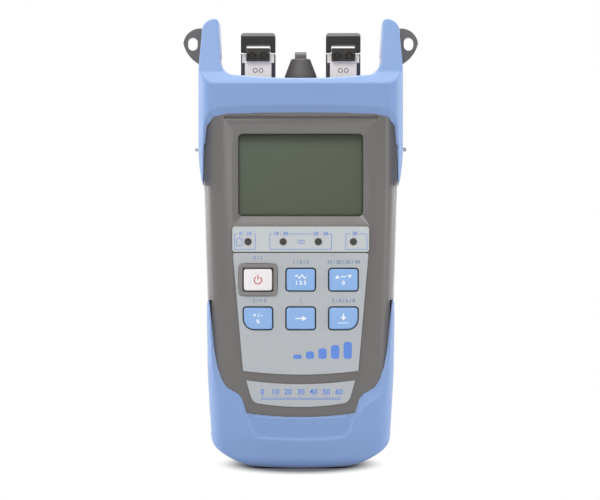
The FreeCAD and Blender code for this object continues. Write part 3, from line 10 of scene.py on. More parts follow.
import bmesh
import bpy
import numpy as np
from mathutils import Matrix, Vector

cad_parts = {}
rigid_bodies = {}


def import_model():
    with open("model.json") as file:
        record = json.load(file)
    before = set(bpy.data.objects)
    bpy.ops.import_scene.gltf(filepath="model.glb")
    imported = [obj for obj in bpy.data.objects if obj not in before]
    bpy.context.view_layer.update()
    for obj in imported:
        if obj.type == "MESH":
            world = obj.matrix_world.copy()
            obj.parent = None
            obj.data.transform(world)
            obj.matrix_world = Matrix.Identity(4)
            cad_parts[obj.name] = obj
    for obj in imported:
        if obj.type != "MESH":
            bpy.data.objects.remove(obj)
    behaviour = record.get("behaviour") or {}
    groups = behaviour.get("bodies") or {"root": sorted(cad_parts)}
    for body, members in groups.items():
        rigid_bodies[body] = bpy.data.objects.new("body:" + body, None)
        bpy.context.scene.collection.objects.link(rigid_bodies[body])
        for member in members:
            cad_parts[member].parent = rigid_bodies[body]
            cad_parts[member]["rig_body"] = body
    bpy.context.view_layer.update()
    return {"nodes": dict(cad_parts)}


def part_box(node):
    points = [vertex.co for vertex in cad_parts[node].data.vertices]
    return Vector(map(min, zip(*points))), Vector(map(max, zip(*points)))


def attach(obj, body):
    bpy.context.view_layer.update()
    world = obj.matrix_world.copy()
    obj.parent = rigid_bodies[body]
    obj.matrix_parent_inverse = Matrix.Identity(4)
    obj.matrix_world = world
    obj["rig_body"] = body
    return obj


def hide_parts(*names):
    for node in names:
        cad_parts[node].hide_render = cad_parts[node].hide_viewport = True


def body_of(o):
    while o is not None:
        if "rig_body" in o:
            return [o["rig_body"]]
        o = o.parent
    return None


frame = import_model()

MM = 0.001
WELD = 0.002 * MM  # points nearer than this are one
FLAT_TURN = math.radians(0.03)  # faces that turn less than this are one
SKIN = 0.01 * MM  # how near to the back a point counts as on it
DIGIT_SHARE = 0.70  # a digit's height as a share of its type size
NUMBER = "NodeSocketFloat"  # the kind of socket that takes a number
CORNER_STEPS = 9  # points on each rounded corner of a key or its frame
LOG = logging.getLogger("power_meter")
Colour = tuple[float, float, float]
Socket = bpy.types.NodeSocket


def srgb(red: int, green: int, blue: int) -> Colour:
    """Turn an eight-bit display colour into the linear one that shaders take.

    Args:
        red: Red from 0 to 255.
        green: Green from 0 to 255.
        blue: Blue from 0 to 255.

    Returns:
        The linear red, green and blue.
    """
    share = np.array([red, green, blue]) / 255.0
    linear = np.where(share <= 0.04045, share / 12.92, ((share + 0.055) / 1.055) ** 2.4)
    return tuple(float(value) for value in linear)


def shade(colour: Colour, factor: float) -> tuple[float, float, float, float]:
    """Scale a linear colour, with no channel over one, and add full alpha."""
    return (*(min(1.0, channel * factor) for channel in colour), 1.0)


# ---- shader tools


class Tree:
    """A node tree under construction."""

    def __init__(self, tree: bpy.types.NodeTree) -> None:
        """Keep the node tree of a material, a world or a group."""
        self.tree = tree

    def node(self, kind: str, **settings: object) -> bpy.types.Node:
        """Add a node and set its properties and its named inputs.

        Args:
            kind: The node's type name.
            settings: Properties by name, and inputs as a dict under "inputs".

        Returns:
            The new node.
        """
        made = self.tree.nodes.new(kind)
        inputs = settings.pop("inputs", {})
        for name, value in settings.items():
            setattr(made, name, value)
        for name, value in inputs.items():
            self.feed(made.inputs[name], value)
        return made

    def feed(self, socket: Socket, value: object) -> None:
        """Link an output to a socket, or set the socket's own value.

        Args:
            socket: The input to fill.
            value: An output socket, a number or a colour.
        """
        if isinstance(value, Socket):
            self.tree.links.new(value, socket)
        else:
            socket.default_value = value

    def place(self) -> Socket:
        """The object coordinates, which stay with the piece."""
        return self.node("ShaderNodeTexCoord").outputs["Object"]

    def maths(self, operation: str, *values: object) -> Socket:
        """One step of arithmetic on numbers or sockets, in the Math node's order."""
        inputs = dict(enumerate(values))
        return self.node("ShaderNodeMath", operation=operation, inputs=inputs).outputs[0]

    def blend(self, factor: object, first: object, second: object) -> Socket:
        """Mix two colours by the share of the second."""
        inputs = {0: factor, 6: first, 7: second}
        return self.node("ShaderNodeMix", data_type="RGBA", inputs=inputs).outputs[2]

    def ramp(self, value: object, span: tuple, ends: tuple = (0.0, 1.0),
             kind: str = "LINEAR") -> Socket:
        """Carry a span of values onto two ends, which hold beyond it."""
        inputs = dict(enumerate((value, *span, *ends)))
        return self.node("ShaderNodeMapRange", interpolation_type=kind, inputs=inputs).outputs[0]

    def noise(self, place: object, scale: object, detail: float,
              roughness: float = 0.5) -> Socket:
        """Smooth noise around a half, by its fineness, octaves and their weight."""
        inputs = {"Vector": place, "Scale": scale, "Detail": detail, "Roughness": roughness}
        return self.node("ShaderNodeTexNoise", inputs=inputs).outputs["Fac"]

    def mapping(self, turn: tuple, scale: tuple) -> Socket:
        """The object coordinates, turned and then scaled."""
        inputs = {"Vector": self.place(), "Rotation": turn, "Scale": scale}
        return self.node("ShaderNodeMapping", inputs=inputs).outputs[0]

    def axes(self, vector: object) -> tuple:
        """Split a vector into its x, y and z."""
        return tuple(self.node("ShaderNodeSeparateXYZ", inputs={"Vector": vector}).outputs)

    def bump(self, height: object, strength: float, depth: float) -> Socket:
        """Turn a height into a normal, with the depth in millimetres."""
        inputs = {"Height": height, "Strength": strength, "Distance": depth * MM}
        return self.node("ShaderNodeBump", inputs=inputs).outputs[0]

    def principled(self, inputs: dict[str, object]) -> Socket:
        """Add the Principled BSDF with some inputs filled, and give its output."""
        return self.node("ShaderNodeBsdfPrincipled", inputs=inputs).outputs[0]


class Effect(Enum):
    """Surface effects that several finishes share, each a node group."""

    GRAIN = "moulded_grain"
    TONE = "cloudy_tone"
    RUBS = "handling_rubs"
    BRUSH = "brushed_lines"

    def group(self) -> bpy.types.NodeTree:
        """The effect's node group, built the first time it is asked for.

        Returns:
            A group with one number input for each that its builder takes,
            and one number output.
        """
        known = bpy.data.node_groups.get(self.value)
        if known:
            return known
        build, defaults = EFFECTS[self]
        group = bpy.data.node_groups.new(self.value, "ShaderNodeTree")
        for name, value in defaults.items():
            socket = group.interface.new_socket(name, in_out="INPUT", socket_type=NUMBER)
            socket.default_value = value
        group.interface.new_socket("Value", in_out="OUTPUT", socket_type=NUMBER)
        tree = Tree(group)
        source = tree.node("NodeGroupInput")
        result = build(tree, *(source.outputs[name] for name in defaults))
        tree.node("NodeGroupOutput", inputs={"Value": result})
        return group


def build_grain(tree: Tree, scale: Socket) -> Socket:
    """Spark-eroded mould texture: fine noise with flat-topped pits.

    Args:
        tree: The group's tree.
        scale: How fine it is.

    Returns:
        A height, lowest in a pit.
    """
    fine = tree.noise(tree.place(), scale, 3.0, 0.6)
    cells = tree.node("ShaderNodeTexVoronoi", inputs={"Vector": tree.place(), "Scale": scale})
    pits = tree.maths("MINIMUM", cells.outputs["Distance"], 0.55)
    return tree.maths("ADD", tree.maths("MULTIPLY", fine, 0.7), pits)


def build_tone(tree: Tree, scale: Socket) -> Socket:
    """Cloudy change of tone over a moulded surface.

    Args:
        tree: The group's tree.
        scale: How fine it is.

    Returns:
        A number that stays between 0 and 1 around a half.
    """
    broad = tree.noise(tree.place(), scale, 2.0)
    small = tree.noise(tree.place(), tree.maths("MULTIPLY", scale, 9.0), 5.0)
    return tree.maths("MULTIPLY_ADD", small, 0.3, tree.maths("MULTIPLY", broad, 0.7))


def build_rubs(tree: Tree, scale: Socket, amount: Socket) -> Socket:
    """Faint polished patches and hairlines from handling.

    Args:
        tree: The group's tree.
        scale: How fine they are.
        amount: How strong they are.

    Returns:
        A number, 0 where the surface is fresh.
    """
    lines = tree.noise(tree.mapping((0.4, 0.7, 0.5), (1.0, 1.0, 14.0)), scale, 8.0, 0.7)
    patches = tree.noise(tree.place(), scale, 3.0)
    sharp = tree.ramp(tree.maths("MULTIPLY", lines, patches), (0.24, 0.42))
    return tree.maths("MULTIPLY", sharp, amount)


def build_brush(tree: Tree, scale: Socket) -> Socket:
    """Fine lines along the width of brushed or drawn metal, between 0 and 1."""
    return tree.noise(tree.mapping((0.0, 0.0, 0.0), (0.03, 1.0, 1.0)), scale, 4.0, 0.6)


EFFECTS = {
    Effect.GRAIN: (build_grain, {"Scale": 2500.0}),
    Effect.TONE: (build_tone, {"Scale": 30.0}),
    Effect.RUBS: (build_rubs, {"Scale": 60.0, "Amount": 0.3}),
    Effect.BRUSH: (build_brush, {"Scale": 900.0}),
}


def effect(tree: Tree, kind: Effect, **values: float) -> Socket:
    """Place an effect's group in a material, with its inputs filled by name."""
    return tree.node("ShaderNodeGroup", node_tree=kind.group(), inputs=values).outputs[0]


# ---- finishes


def new_material(title: str, surface: Callable[[Tree], Socket]) -> bpy.types.Material:
    """Make a material that holds only the nodes its builder adds.

    Args:
        title: The material's name.
        surface: Builds the nodes in a tree and gives the shader's output.

    Returns:
        The new material.
    """
    made = bpy.data.materials.new(title)
    made.use_nodes = True
    made.node_tree.nodes.clear()
    tree = Tree(made.node_tree)
    tree.node("ShaderNodeOutputMaterial", inputs={"Surface": surface(tree)})
    return made


@dataclass(frozen=True)
class Finish:
    """A named finish, whose material is built once and then shared."""

    name: str

    def surface(self, tree: Tree) -> Socket:
        """Build the finish in a tree and give the shader's output."""
        raise NotImplementedError

    def material(self) -> bpy.types.Material:
        """Build the finish, or give the one that was built before."""
        title = f"{self.name}_finish"
        return bpy.data.materials.get(title) or new_material(title, self.surface)


@dataclass(frozen=True)
class Moulding(Finish):
    """An opaque moulded plastic or rubber.

    The base colour drifts between a darker and a lighter tone, rubs make it a
    little smoother and paler, and a fine mould grain is a bump.
    """

    colour: Colour
    roughness: float
    spread: float = 0.06
    grain_scale: float = 2600.0
    grain_depth: float = 0.010
    grain_strength: float = 0.25
    tone_scale: float = 26.0
    tone_swing: float = 0.10
    rubs: float = 0.3
    rub_pitch: float = 3.0
    rub_cover: float = 0.25
    rub_tint: float = 1.35
    rub_polish: float = 0.12
    specular: float = 0.5
    sheen: float = 0.0
    coat: float = 0.0
    coat_roughness: float = 0.25

    def surface(self, tree: Tree) -> Socket:
        """Build the drifting colour, the rubs and the grain.

        Args:
            tree: The material's tree.

        Returns:
            The shader's output.
        """
        tone = effect(tree, Effect.TONE, Scale=self.tone_scale)
        scale = self.tone_scale * self.rub_pitch
        rubs = effect(tree, Effect.RUBS, Scale=scale, Amount=self.rubs)
        dark, light = shade(self.colour, 1 - self.spread), shade(self.colour, 1 + self.spread)
        cover = tree.maths("MULTIPLY", rubs, self.rub_cover)
        base = tree.blend(tone, dark, light)
        base = tree.blend(cover, base, shade(self.colour, self.rub_tint))
        grain = effect(tree, Effect.GRAIN, Scale=self.grain_scale)
        smoothest = self.roughness - self.tone_swing / 2
        rough = tree.maths("MULTIPLY_ADD", tone, self.tone_swing, smoothest)
        rough = tree.maths("SUBTRACT", rough, tree.maths("MULTIPLY", rubs, self.rub_polish))
        return tree.principled({
            "Base Color": base,
            "Roughness": rough,
            "Normal": tree.bump(grain, self.grain_strength, self.grain_depth),
            "Specular IOR Level": self.specular,
            "Sheen Weight": self.sheen,
            "Coat Weight": self.coat,
            "Coat Roughness": self.coat_roughness,
        })


@dataclass(frozen=True)
class Plating(Finish):
    """A plated or drawn metal with fine brushed lines."""

    colour: Colour
    roughness: float
    metallic: float = 1.0
    tone_scale: float = 70.0
    darkest: float = 0.93
    lightest: float = 1.05
    line_scale: float = 900.0
    line_strength: float = 0.12
    line_depth: float = 0.004
    line_swing: float = 0.16

    def surface(self, tree: Tree) -> Socket:
        """Build the metal and its lines.

        Args:
            tree: The material's tree.

        Returns:
            The shader's output.
        """
        lines = effect(tree, Effect.BRUSH, Scale=self.line_scale)
        tone = effect(tree, Effect.TONE, Scale=self.tone_scale)
        dark, light = shade(self.colour, self.darkest), shade(self.colour, self.lightest)
        smoothest = self.roughness - self.line_swing / 2
        return tree.principled({
            "Base Color": tree.blend(tone, dark, light),
            "Roughness": tree.maths("MULTIPLY_ADD", lines, self.line_swing, smoothest),
            "Normal": tree.bump(lines, self.line_strength, self.line_depth),
            "Metallic": self.metallic,
        })


@dataclass(frozen=True)
class ClearWindow(Finish):
    """A clear moulded window that lets light through to what is behind it."""

    tint: Colour
    alpha: float = 0.12
    roughness: float = 0.06
    tone_scale: float = 30.0
    tone_swing: float = 0.04

    def surface(self, tree: Tree) -> Socket:
        """Build the tinted, mostly clear surface.

        Args:
            tree: The material's tree.

        Returns:
            The shader's output.
        """
        tone = effect(tree, Effect.TONE, Scale=self.tone_scale)
        return tree.principled({
            "Base Color": shade(self.tint, 1.0),
            "Roughness": tree.maths("MULTIPLY_ADD", tone, self.tone_swing, self.roughness),
            "Alpha": self.alpha,
        })


@dataclass(frozen=True)
class CrystalGlass(Finish):
    """The liquid crystal glass at rest: an olive field, darker at its rim.

    The field is painted cooler and lighter high on the left and warmer and
    darker low on the right, a painted shade. The rim's painted shade stands
    for the light that the window's frame keeps away, and it reaches further
    in below the upper edge.
    """

    colour: Colour
    warm: Colour
    window: str
    margin: float = 1.6
    top_margin: float = 6.5
    lap: float = 1.3
    rim_start: float = 0.4
    rim_shade: float = 0.25
    roughness: float = 0.32
    specular: float = 0.35
    tone_scale: float = 14.0
    tone_swing: float = 0.08
    tone_cover: float = 0.2
    tone_tint: float = 1.25

    def slant(self, tree: Tree) -> Socket:
        """How far a point lies towards the window's low right corner.

        Args:
            tree: The material's tree.

        Returns:
            A mask, 0 at the high left corner and 1 at the low right one.
        """
        low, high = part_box(self.window)
        x, _, z = tree.axes(tree.place())
        both = tree.maths("ADD", tree.ramp(x, (low[0], high[0])), tree.ramp(z, (high[2], low[2])))
        return tree.maths("MULTIPLY", both, 0.5)

    def rim(self, tree: Tree) -> Socket:
        """How far inside the window's edge a point lies.

        Args:
            tree: The material's tree.

        Returns:
            A mask, 0 at the edge and 1 from the margin inwards.
        """
        low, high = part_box(self.window)
        x, _, z = tree.axes(tree.place())
        runs = (
            (x, low[0], 1.0, self.margin),
            (x, high[0], -1.0, self.margin),
            (z, low[2], 1.0, self.margin),
            (z, high[2], -1.0, self.top_margin),
        )
        mask = 1.0
        for place, side, sign, margin in runs:
            edge = side + sign * self.lap * MM
            span = (edge - sign * self.rim_start * MM, edge + sign * margin * MM)
            mask = tree.maths("MULTIPLY", tree.ramp(place, span, kind="SMOOTHERSTEP"), mask)
        return mask

    def surface(self, tree: Tree) -> Socket:
        """Build the field, its painted shade to the low right and at its rim.

        Args:
            tree: The material's tree.

        Returns:
            The shader's output.
        """
        tone = effect(tree, Effect.TONE, Scale=self.tone_scale)
        # painted shade: darker and warmer towards the window's low right corner
        base = tree.blend(self.slant(tree), shade(self.colour, 1.0), shade(self.warm, 1.0))
        cover = tree.maths("MULTIPLY", tone, self.tone_cover)
        base = tree.blend(cover, base, shade(self.colour, self.tone_tint))
        # painted shade along the rim, where the window's frame keeps light away
        base = tree.blend(self.rim(tree), shade(self.warm, self.rim_shade), base)
        return tree.principled({
            "Base Color": base,
            "Roughness": tree.maths("MULTIPLY_ADD", tone, self.tone_swing, self.roughness),
            "Specular IOR Level": self.specular,
        })


CASE = Moulding(
    "case_grey", srgb(99, 95, 93), 0.33, grain_strength=0.2, specular=0.6, sheen=1.0, coat=0.3,
)
GUARD = Moulding(
    "guard_blue", srgb(124, 153, 201), 0.38, spread=0.04, grain_scale=3200.0, grain_strength=0.12,
    sheen=0.35,
)
PANEL = Moulding(
    "panel_grey", srgb(176, 180, 183), 0.42, spread=0.03, grain_scale=4200.0, rubs=0.2
)
# a paler copy of the panel grey for the indicator panel: painted light
PANEL_PAINTED_LIGHT = Moulding(
    "panel_painted_light", srgb(190, 194, 195), 0.42, spread=0.03, grain_scale=4200.0, rubs=0.2
)
KEY_BLUE = Moulding("key_blue", srgb(138, 175, 223), 0.30, spread=0.04, grain_strength=0.12)
KEY_WHITE = Moulding("key_white", srgb(231, 227, 228), 0.30, spread=0.02, grain_strength=0.10)
KEY_FRAME = Moulding("frame_dark", srgb(125, 123, 121), 0.40, spread=0.05)
LAMP = Moulding("light_dark", srgb(62, 60, 54), 0.22, spread=0.05, grain_strength=0.02, coat=0.4)
SLATE = Moulding("port_slate", srgb(52, 52, 57), 0.40, spread=0.06)
CAP_BLACK = Moulding(
    "cap_black", srgb(40, 37, 34), 0.42, spread=0.08, grain_strength=0.3, specular=0.4
)
CAP_RUBBER = Moulding("cap_rubber", srgb(94, 90, 87), 0.52, spread=0.07, grain_strength=0.4)
MAT = Moulding("mat_rubber", srgb(170, 170, 165), 0.6)
BOARD = Moulding("board", srgb(26, 84, 48), 0.4)
BACKLIGHT = Moulding("backlight", srgb(220, 220, 212), 0.6)
CERAMIC = Moulding("ceramic", srgb(238, 238, 232), 0.18, grain_strength=0.03)
WRAP = Moulding("cell_wrap", srgb(72, 74, 80), 0.30, grain_strength=0.03)
INK_BLUE = Moulding("ink_blue", srgb(92, 134, 214), 0.5, spread=0.03, rubs=0.1)
INK_SLATE = Moulding("ink_slate", srgb(112, 132, 168), 0.5, spread=0.03, rubs=0.1)
INK_WHITE = Moulding("ink_white", srgb(236, 240, 248), 0.5, spread=0.02, rubs=0.1)
INK_RED = Moulding("ink_red", srgb(200, 48, 52), 0.5, spread=0.03, rubs=0.1)
NICKEL = Plating("nickel", srgb(255, 240, 230), 0.44, metallic=0.15)
STEEL = Plating("steel", srgb(176, 176, 178), 0.34)
BLACKED = Plating("screw_black", srgb(70, 66, 62), 0.38)
CAN = Plating("module_can", srgb(188, 188, 190), 0.42)
LENS = ClearWindow("lens", (0.10, 0.11, 0.09))
# the second colour is the darker, warmer one of the painted shade
DISPLAY = CrystalGlass("display", srgb(101, 112, 98), srgb(94, 100, 75), "display_lens")


# ---- mesh tools


def linked(name: str, data: bpy.types.ID) -> bpy.types.Object:
    """Make an object of a mesh, a lamp or a camera, and link it into the scene."""
    made = bpy.data.objects.new(name, data)
    bpy.context.scene.collection.objects.link(made)
    return made


def aimed(name: str, data: bpy.types.ID, place: Vector, target: tuple) -> bpy.types.Object:
    """Set a lamp or a camera up at a place, facing a target.

    Args:
        name: Its name.
        data: The lamp or the camera.
        place: Where it stands.
        target: What it faces.

    Returns:
        The new object.
    """
    made = linked(name, data)
    made.location = place
    made.rotation_euler = (Vector(target) - place).to_track_quat("-Z", "Y").to_euler()
    return made


def link_mesh(name: str, vertices: np.ndarray, faces: list, smooth: float) -> bpy.types.Object:
    """Make an object from points and faces, smooth below an angle.

    Args:
        name: The piece's name.
        vertices: Points in metres, one row each.
        faces: Rows of vertex numbers.
        smooth: Edges sharper than this many degrees stay sharp.

    Returns:
        The new object, linked into the scene.
    """
    mesh = bpy.data.meshes.new(name)
    mesh.from_pydata(vertices.reshape(-1, 3).tolist(), [], [list(face) for face in faces])
    mesh.validate()
    mesh.shade_smooth()
    mesh.set_sharp_from_angle(angle=math.radians(smooth))
    return linked(name, mesh)


def ring_faces(rings: int, points: int, joined: bool = False) -> list:
    """Quads between rings of points, each ring closed.

    Args:
        rings: How many rings there are.
        points: How many points each ring has.
        joined: Whether the last ring joins the first, as round a frame, where
            otherwise both end rings are capped.

    Returns:
        Rows of vertex numbers.
    """
    count = rings if joined else rings - 1
    row, column = np.meshgrid(np.arange(count), np.arange(points), indexing="ij")
    ahead = (column + 1) % points
    here, after = row * points, (row + 1) % rings * points
    quads = np.stack(
        [here + column, here + ahead, after + ahead, after + column], axis=-1
    ).reshape(-1, 4)
    if joined:
        return quads.tolist()
    first = list(range(points - 1, -1, -1))
    last = list(range((rings - 1) * points, rings * points))
    return [*quads.tolist(), first, last]


def rounded_loop(half_x: float, half_z: float, radii: Sequence[float], steps: int) -> np.ndarray:
    """Outline of a rectangle with its own radius at each corner.

    Each corner is a quarter circle about its centre, sampled evenly, and the
    straight runs between corners are left to the lines that join them.

    Args:
        half_x: Half the width.
        half_z: Half the height.
        radii: Radii at low left, low right, high right and high left.
        steps: Points on each corner.

    Returns:
        Points (x, z) counter-clockwise seen from the front.
    """
    signs = np.array([(-1, -1), (1, -1), (1, 1), (-1, 1)])
    radius = np.asarray(radii, dtype=float)[:, None]
    centres = signs * (np.array([half_x, half_z]) - radius)
    start = np.radians([180.0, 270.0, 0.0, 90.0])[:, None]
    angle = start + np.linspace(0, math.pi / 2, steps)[None, :]
    x = centres[:, :1] + radius * np.cos(angle)
    z = centres[:, 1:] + radius * np.sin(angle)
    return np.stack([x.ravel(), z.ravel()], axis=1)


def rounded_edge(radius: float, front: float, steps: int) -> tuple[np.ndarray, np.ndarray]:
    """A quarter circle from a wall over onto a front face.

    Args:
        radius: Its radius.
        front: The y of the front face.
        steps: How many points it has.

    Returns:
        How far each point is set in from the wall, and the y of each.
    """
    turn = np.linspace(0, math.pi / 2, steps)
    return radius * (1 - np.cos(turn)), front + radius * (1 - np.sin(turn))


def stacked_outlines(middle: tuple, half: tuple, insets: np.ndarray, depths: np.ndarray,
                     radii: Sequence[Sequence[float]]) -> np.ndarray:
    """Rounded rectangles one before the other, each smaller by its inset.

    Args:
        middle: The x and z of their middle, in millimetres.
        half: Half the width and half the height of the largest.
        insets: How far each is set in from the largest.
        depths: The y of each.
        radii: The four corner radii of each.

    Returns:
        Points in metres: one row of points for each outline.
    """
    rings = []
    for inset, y, corners in zip(insets, depths, radii):
        loop = rounded_loop(half[0] - inset, half[1] - inset, corners, CORNER_STEPS)
        across, up = (loop + np.array(middle)).T
        rings.append(np.stack([across, np.full(len(loop), y), up], axis=1))
    return np.array(rings) * MM


def vertex_places(mesh: bpy.types.Mesh) -> np.ndarray:
    """A mesh's points in one row: x, y and z of the first, and so on."""
    places = np.empty(len(mesh.vertices) * 3, dtype=np.float32)
    mesh.vertices.foreach_get("co", places)
    return places


def face_outwards(mesh: bpy.types.Mesh) -> None:
    """Join a print's double points and turn all its faces outwards.

    Args:
        mesh: The mesh, in millimetres.
    """
    form = bmesh.new()
    form.from_mesh(mesh)
    bmesh.ops.remove_doubles(form, verts=form.verts, dist=WELD / MM)
    bmesh.ops.recalc_face_normals(form, faces=form.faces)
    form.to_mesh(mesh)
    form.free()


def softened(node: str, width: float, smooth: float = 32.0) -> bpy.types.Object:
    """A cleaned copy of a CAD node with its hard edges slightly rounded.

    Args:
        node: The CAD node, which the copy replaces.
        width: The rounding, in millimetres; 0 leaves the edges sharp.
        smooth: Edges sharper than this many degrees count as hard.

    Returns:
        The new piece, riding where the node rides.
    """
    source = frame["nodes"][node]
    mesh = source.data.copy()
    mesh.name = f"{node}_form"
    form = bmesh.new()
    form.from_mesh(mesh)
    bmesh.ops.remove_doubles(form, verts=form.verts, dist=WELD)
    bmesh.ops.dissolve_limit(form, angle_limit=FLAT_TURN, verts=form.verts, edges=form.edges)
    form.to_mesh(mesh)
    form.free()
    mesh.shade_smooth()
    mesh.set_sharp_from_angle(angle=math.radians(smooth))
    made = linked(f"{node}_form", mesh)
    if width:
        bevel = made.modifiers.new("rounded_edges", "BEVEL")
        bevel.width = width * MM
        bevel.segments = 3
        bevel.limit_method = "ANGLE"
        bevel.angle_limit = math.radians(smooth)
        bevel.use_clamp_overlap = True
        bevel.harden_normals = True
        bevel.miter_outer = "MITER_ARC"
    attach(made, body_of(source)[0])
    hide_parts(node)
    return made


def rubbery(node: str, voxel: float, passes: int, keep: float) -> bpy.types.Object:
    """A copy of a CAD node with every edge melted a little, as rubber has.

    The copy is rebuilt as an even net of small quads, each vertex moves
    towards the mean of its neighbours for some passes, and the net is then
    thinned where it is flat.

    Args:
        node: The CAD node, which the copy replaces.
        voxel: The net's spacing in millimetres.
        passes: How many times the net is smoothed.
        keep: The share of the net's faces that is kept.

    Returns:
        The new piece, riding where the node rides.
    """
    made = softened(node, 0.0)
    net = made.modifiers.new("even_net", "REMESH")
    net.mode = "VOXEL"
    net.voxel_size = voxel * MM
    net.use_smooth_shade = True
    melt = made.modifiers.new("melted_edges", "SMOOTH")
    melt.factor = 0.5
    melt.iterations = passes
    thin = made.modifiers.new("thinned_net", "DECIMATE")
    thin.ratio = keep
    depsgraph = bpy.context.evaluated_depsgraph_get()
    finished = bpy.data.meshes.new_from_object(made.evaluated_get(depsgraph))
    made.modifiers.clear()
    made.data = finished
    finished.shade_smooth()
    return made


def dress(piece: bpy.types.Object, finish: Finish, slot: str | None = None) -> None:
    """Give a piece one finish all over.

    Args:
        piece: The object to dress.
        finish: The finish.
        slot: Not used.
    """
    piece.data.materials.clear()
    piece.data.materials.append(finish.material())
    slot or finish.name


def paint_node(node: str, finish: Finish) -> None:
    """Give a CAD node that keeps its mesh one finish all over."""
    for slot in frame["nodes"][node].material_slots:
        slot.material = finish.material()


# ---- the meter


@dataclass
class RubberGuards:
    """The two blue rubber guards."""

    voxel: float = 0.40
    passes: int = 5
    keep: float = 0.35
    lift: float = 3.2
    foot: float = 18.0

    def build(self) -> None:
        """Melt the edges of both guards and dress them."""
        for node in ("top_guard", "bottom_guard"):
            piece = rubbery(node, self.voxel, self.passes, self.keep)
            if node == "bottom_guard":
                self.curve_foot(piece.data)
            dress(piece, GUARD)
            LOG.info("%s: %d faces", piece.name, len(piece.data.polygons))

    def curve_foot(self, mesh: bpy.types.Mesh) -> None:
        """Raise the boot's underside towards its sides.

        A point goes up by the lift times the square of its share of the
        half width, and by less the nearer it lies to the foot's height.

        Args:
            mesh: The boot's mesh.
        """
        places = vertex_places(mesh)
        across = places[0::3] / places[0::3].max()
        low = np.clip(1.0 - places[2::3] / (self.foot * MM), 0.0, 1.0)
        places[2::3] += self.lift * MM * across**2 * low
        mesh.vertices.foreach_set("co", places)


@dataclass
class PlasticCase:
    """Both half shells, the battery door, the stand and their screws."""

    edge: float = 0.35
    screw_edge: float = 0.12

    def build(self) -> None:
        """Round the moulded edges and dress the case."""
        for node in ("front_housing", "rear_housing", "battery_door", "tilt_stand"):
            dress(softened(node, self.edge), CASE)
        for node in ("case_screws", "door_screw", "stand_pin_left", "stand_pin_right"):
            dress(softened(node, self.screw_edge), STEEL)


@dataclass
class Display:
    """The window with the liquid crystal behind it."""

    gap: float = 0.08
    edge: float = 0.1

    def build(self) -> None:
        """Dress the window, the glass and the light behind it."""
        window = softened("display_lens", self.edge)
        self.part_from_glass(window.data)
        dress(window, LENS)
        paint_node("display_glass", DISPLAY)
        paint_node("display_backlight", BACKLIGHT)

    def part_from_glass(self, mesh: bpy.types.Mesh) -> None:
        """Move the window's back forward, so that it doesn't lie in the glass.

        Args:
            mesh: The window's mesh.
        """
        places = vertex_places(mesh)
        depth = places[1::3]
        depth[depth > depth.max() - SKIN] -= self.gap * MM
        mesh.vertices.foreach_set("co", places)


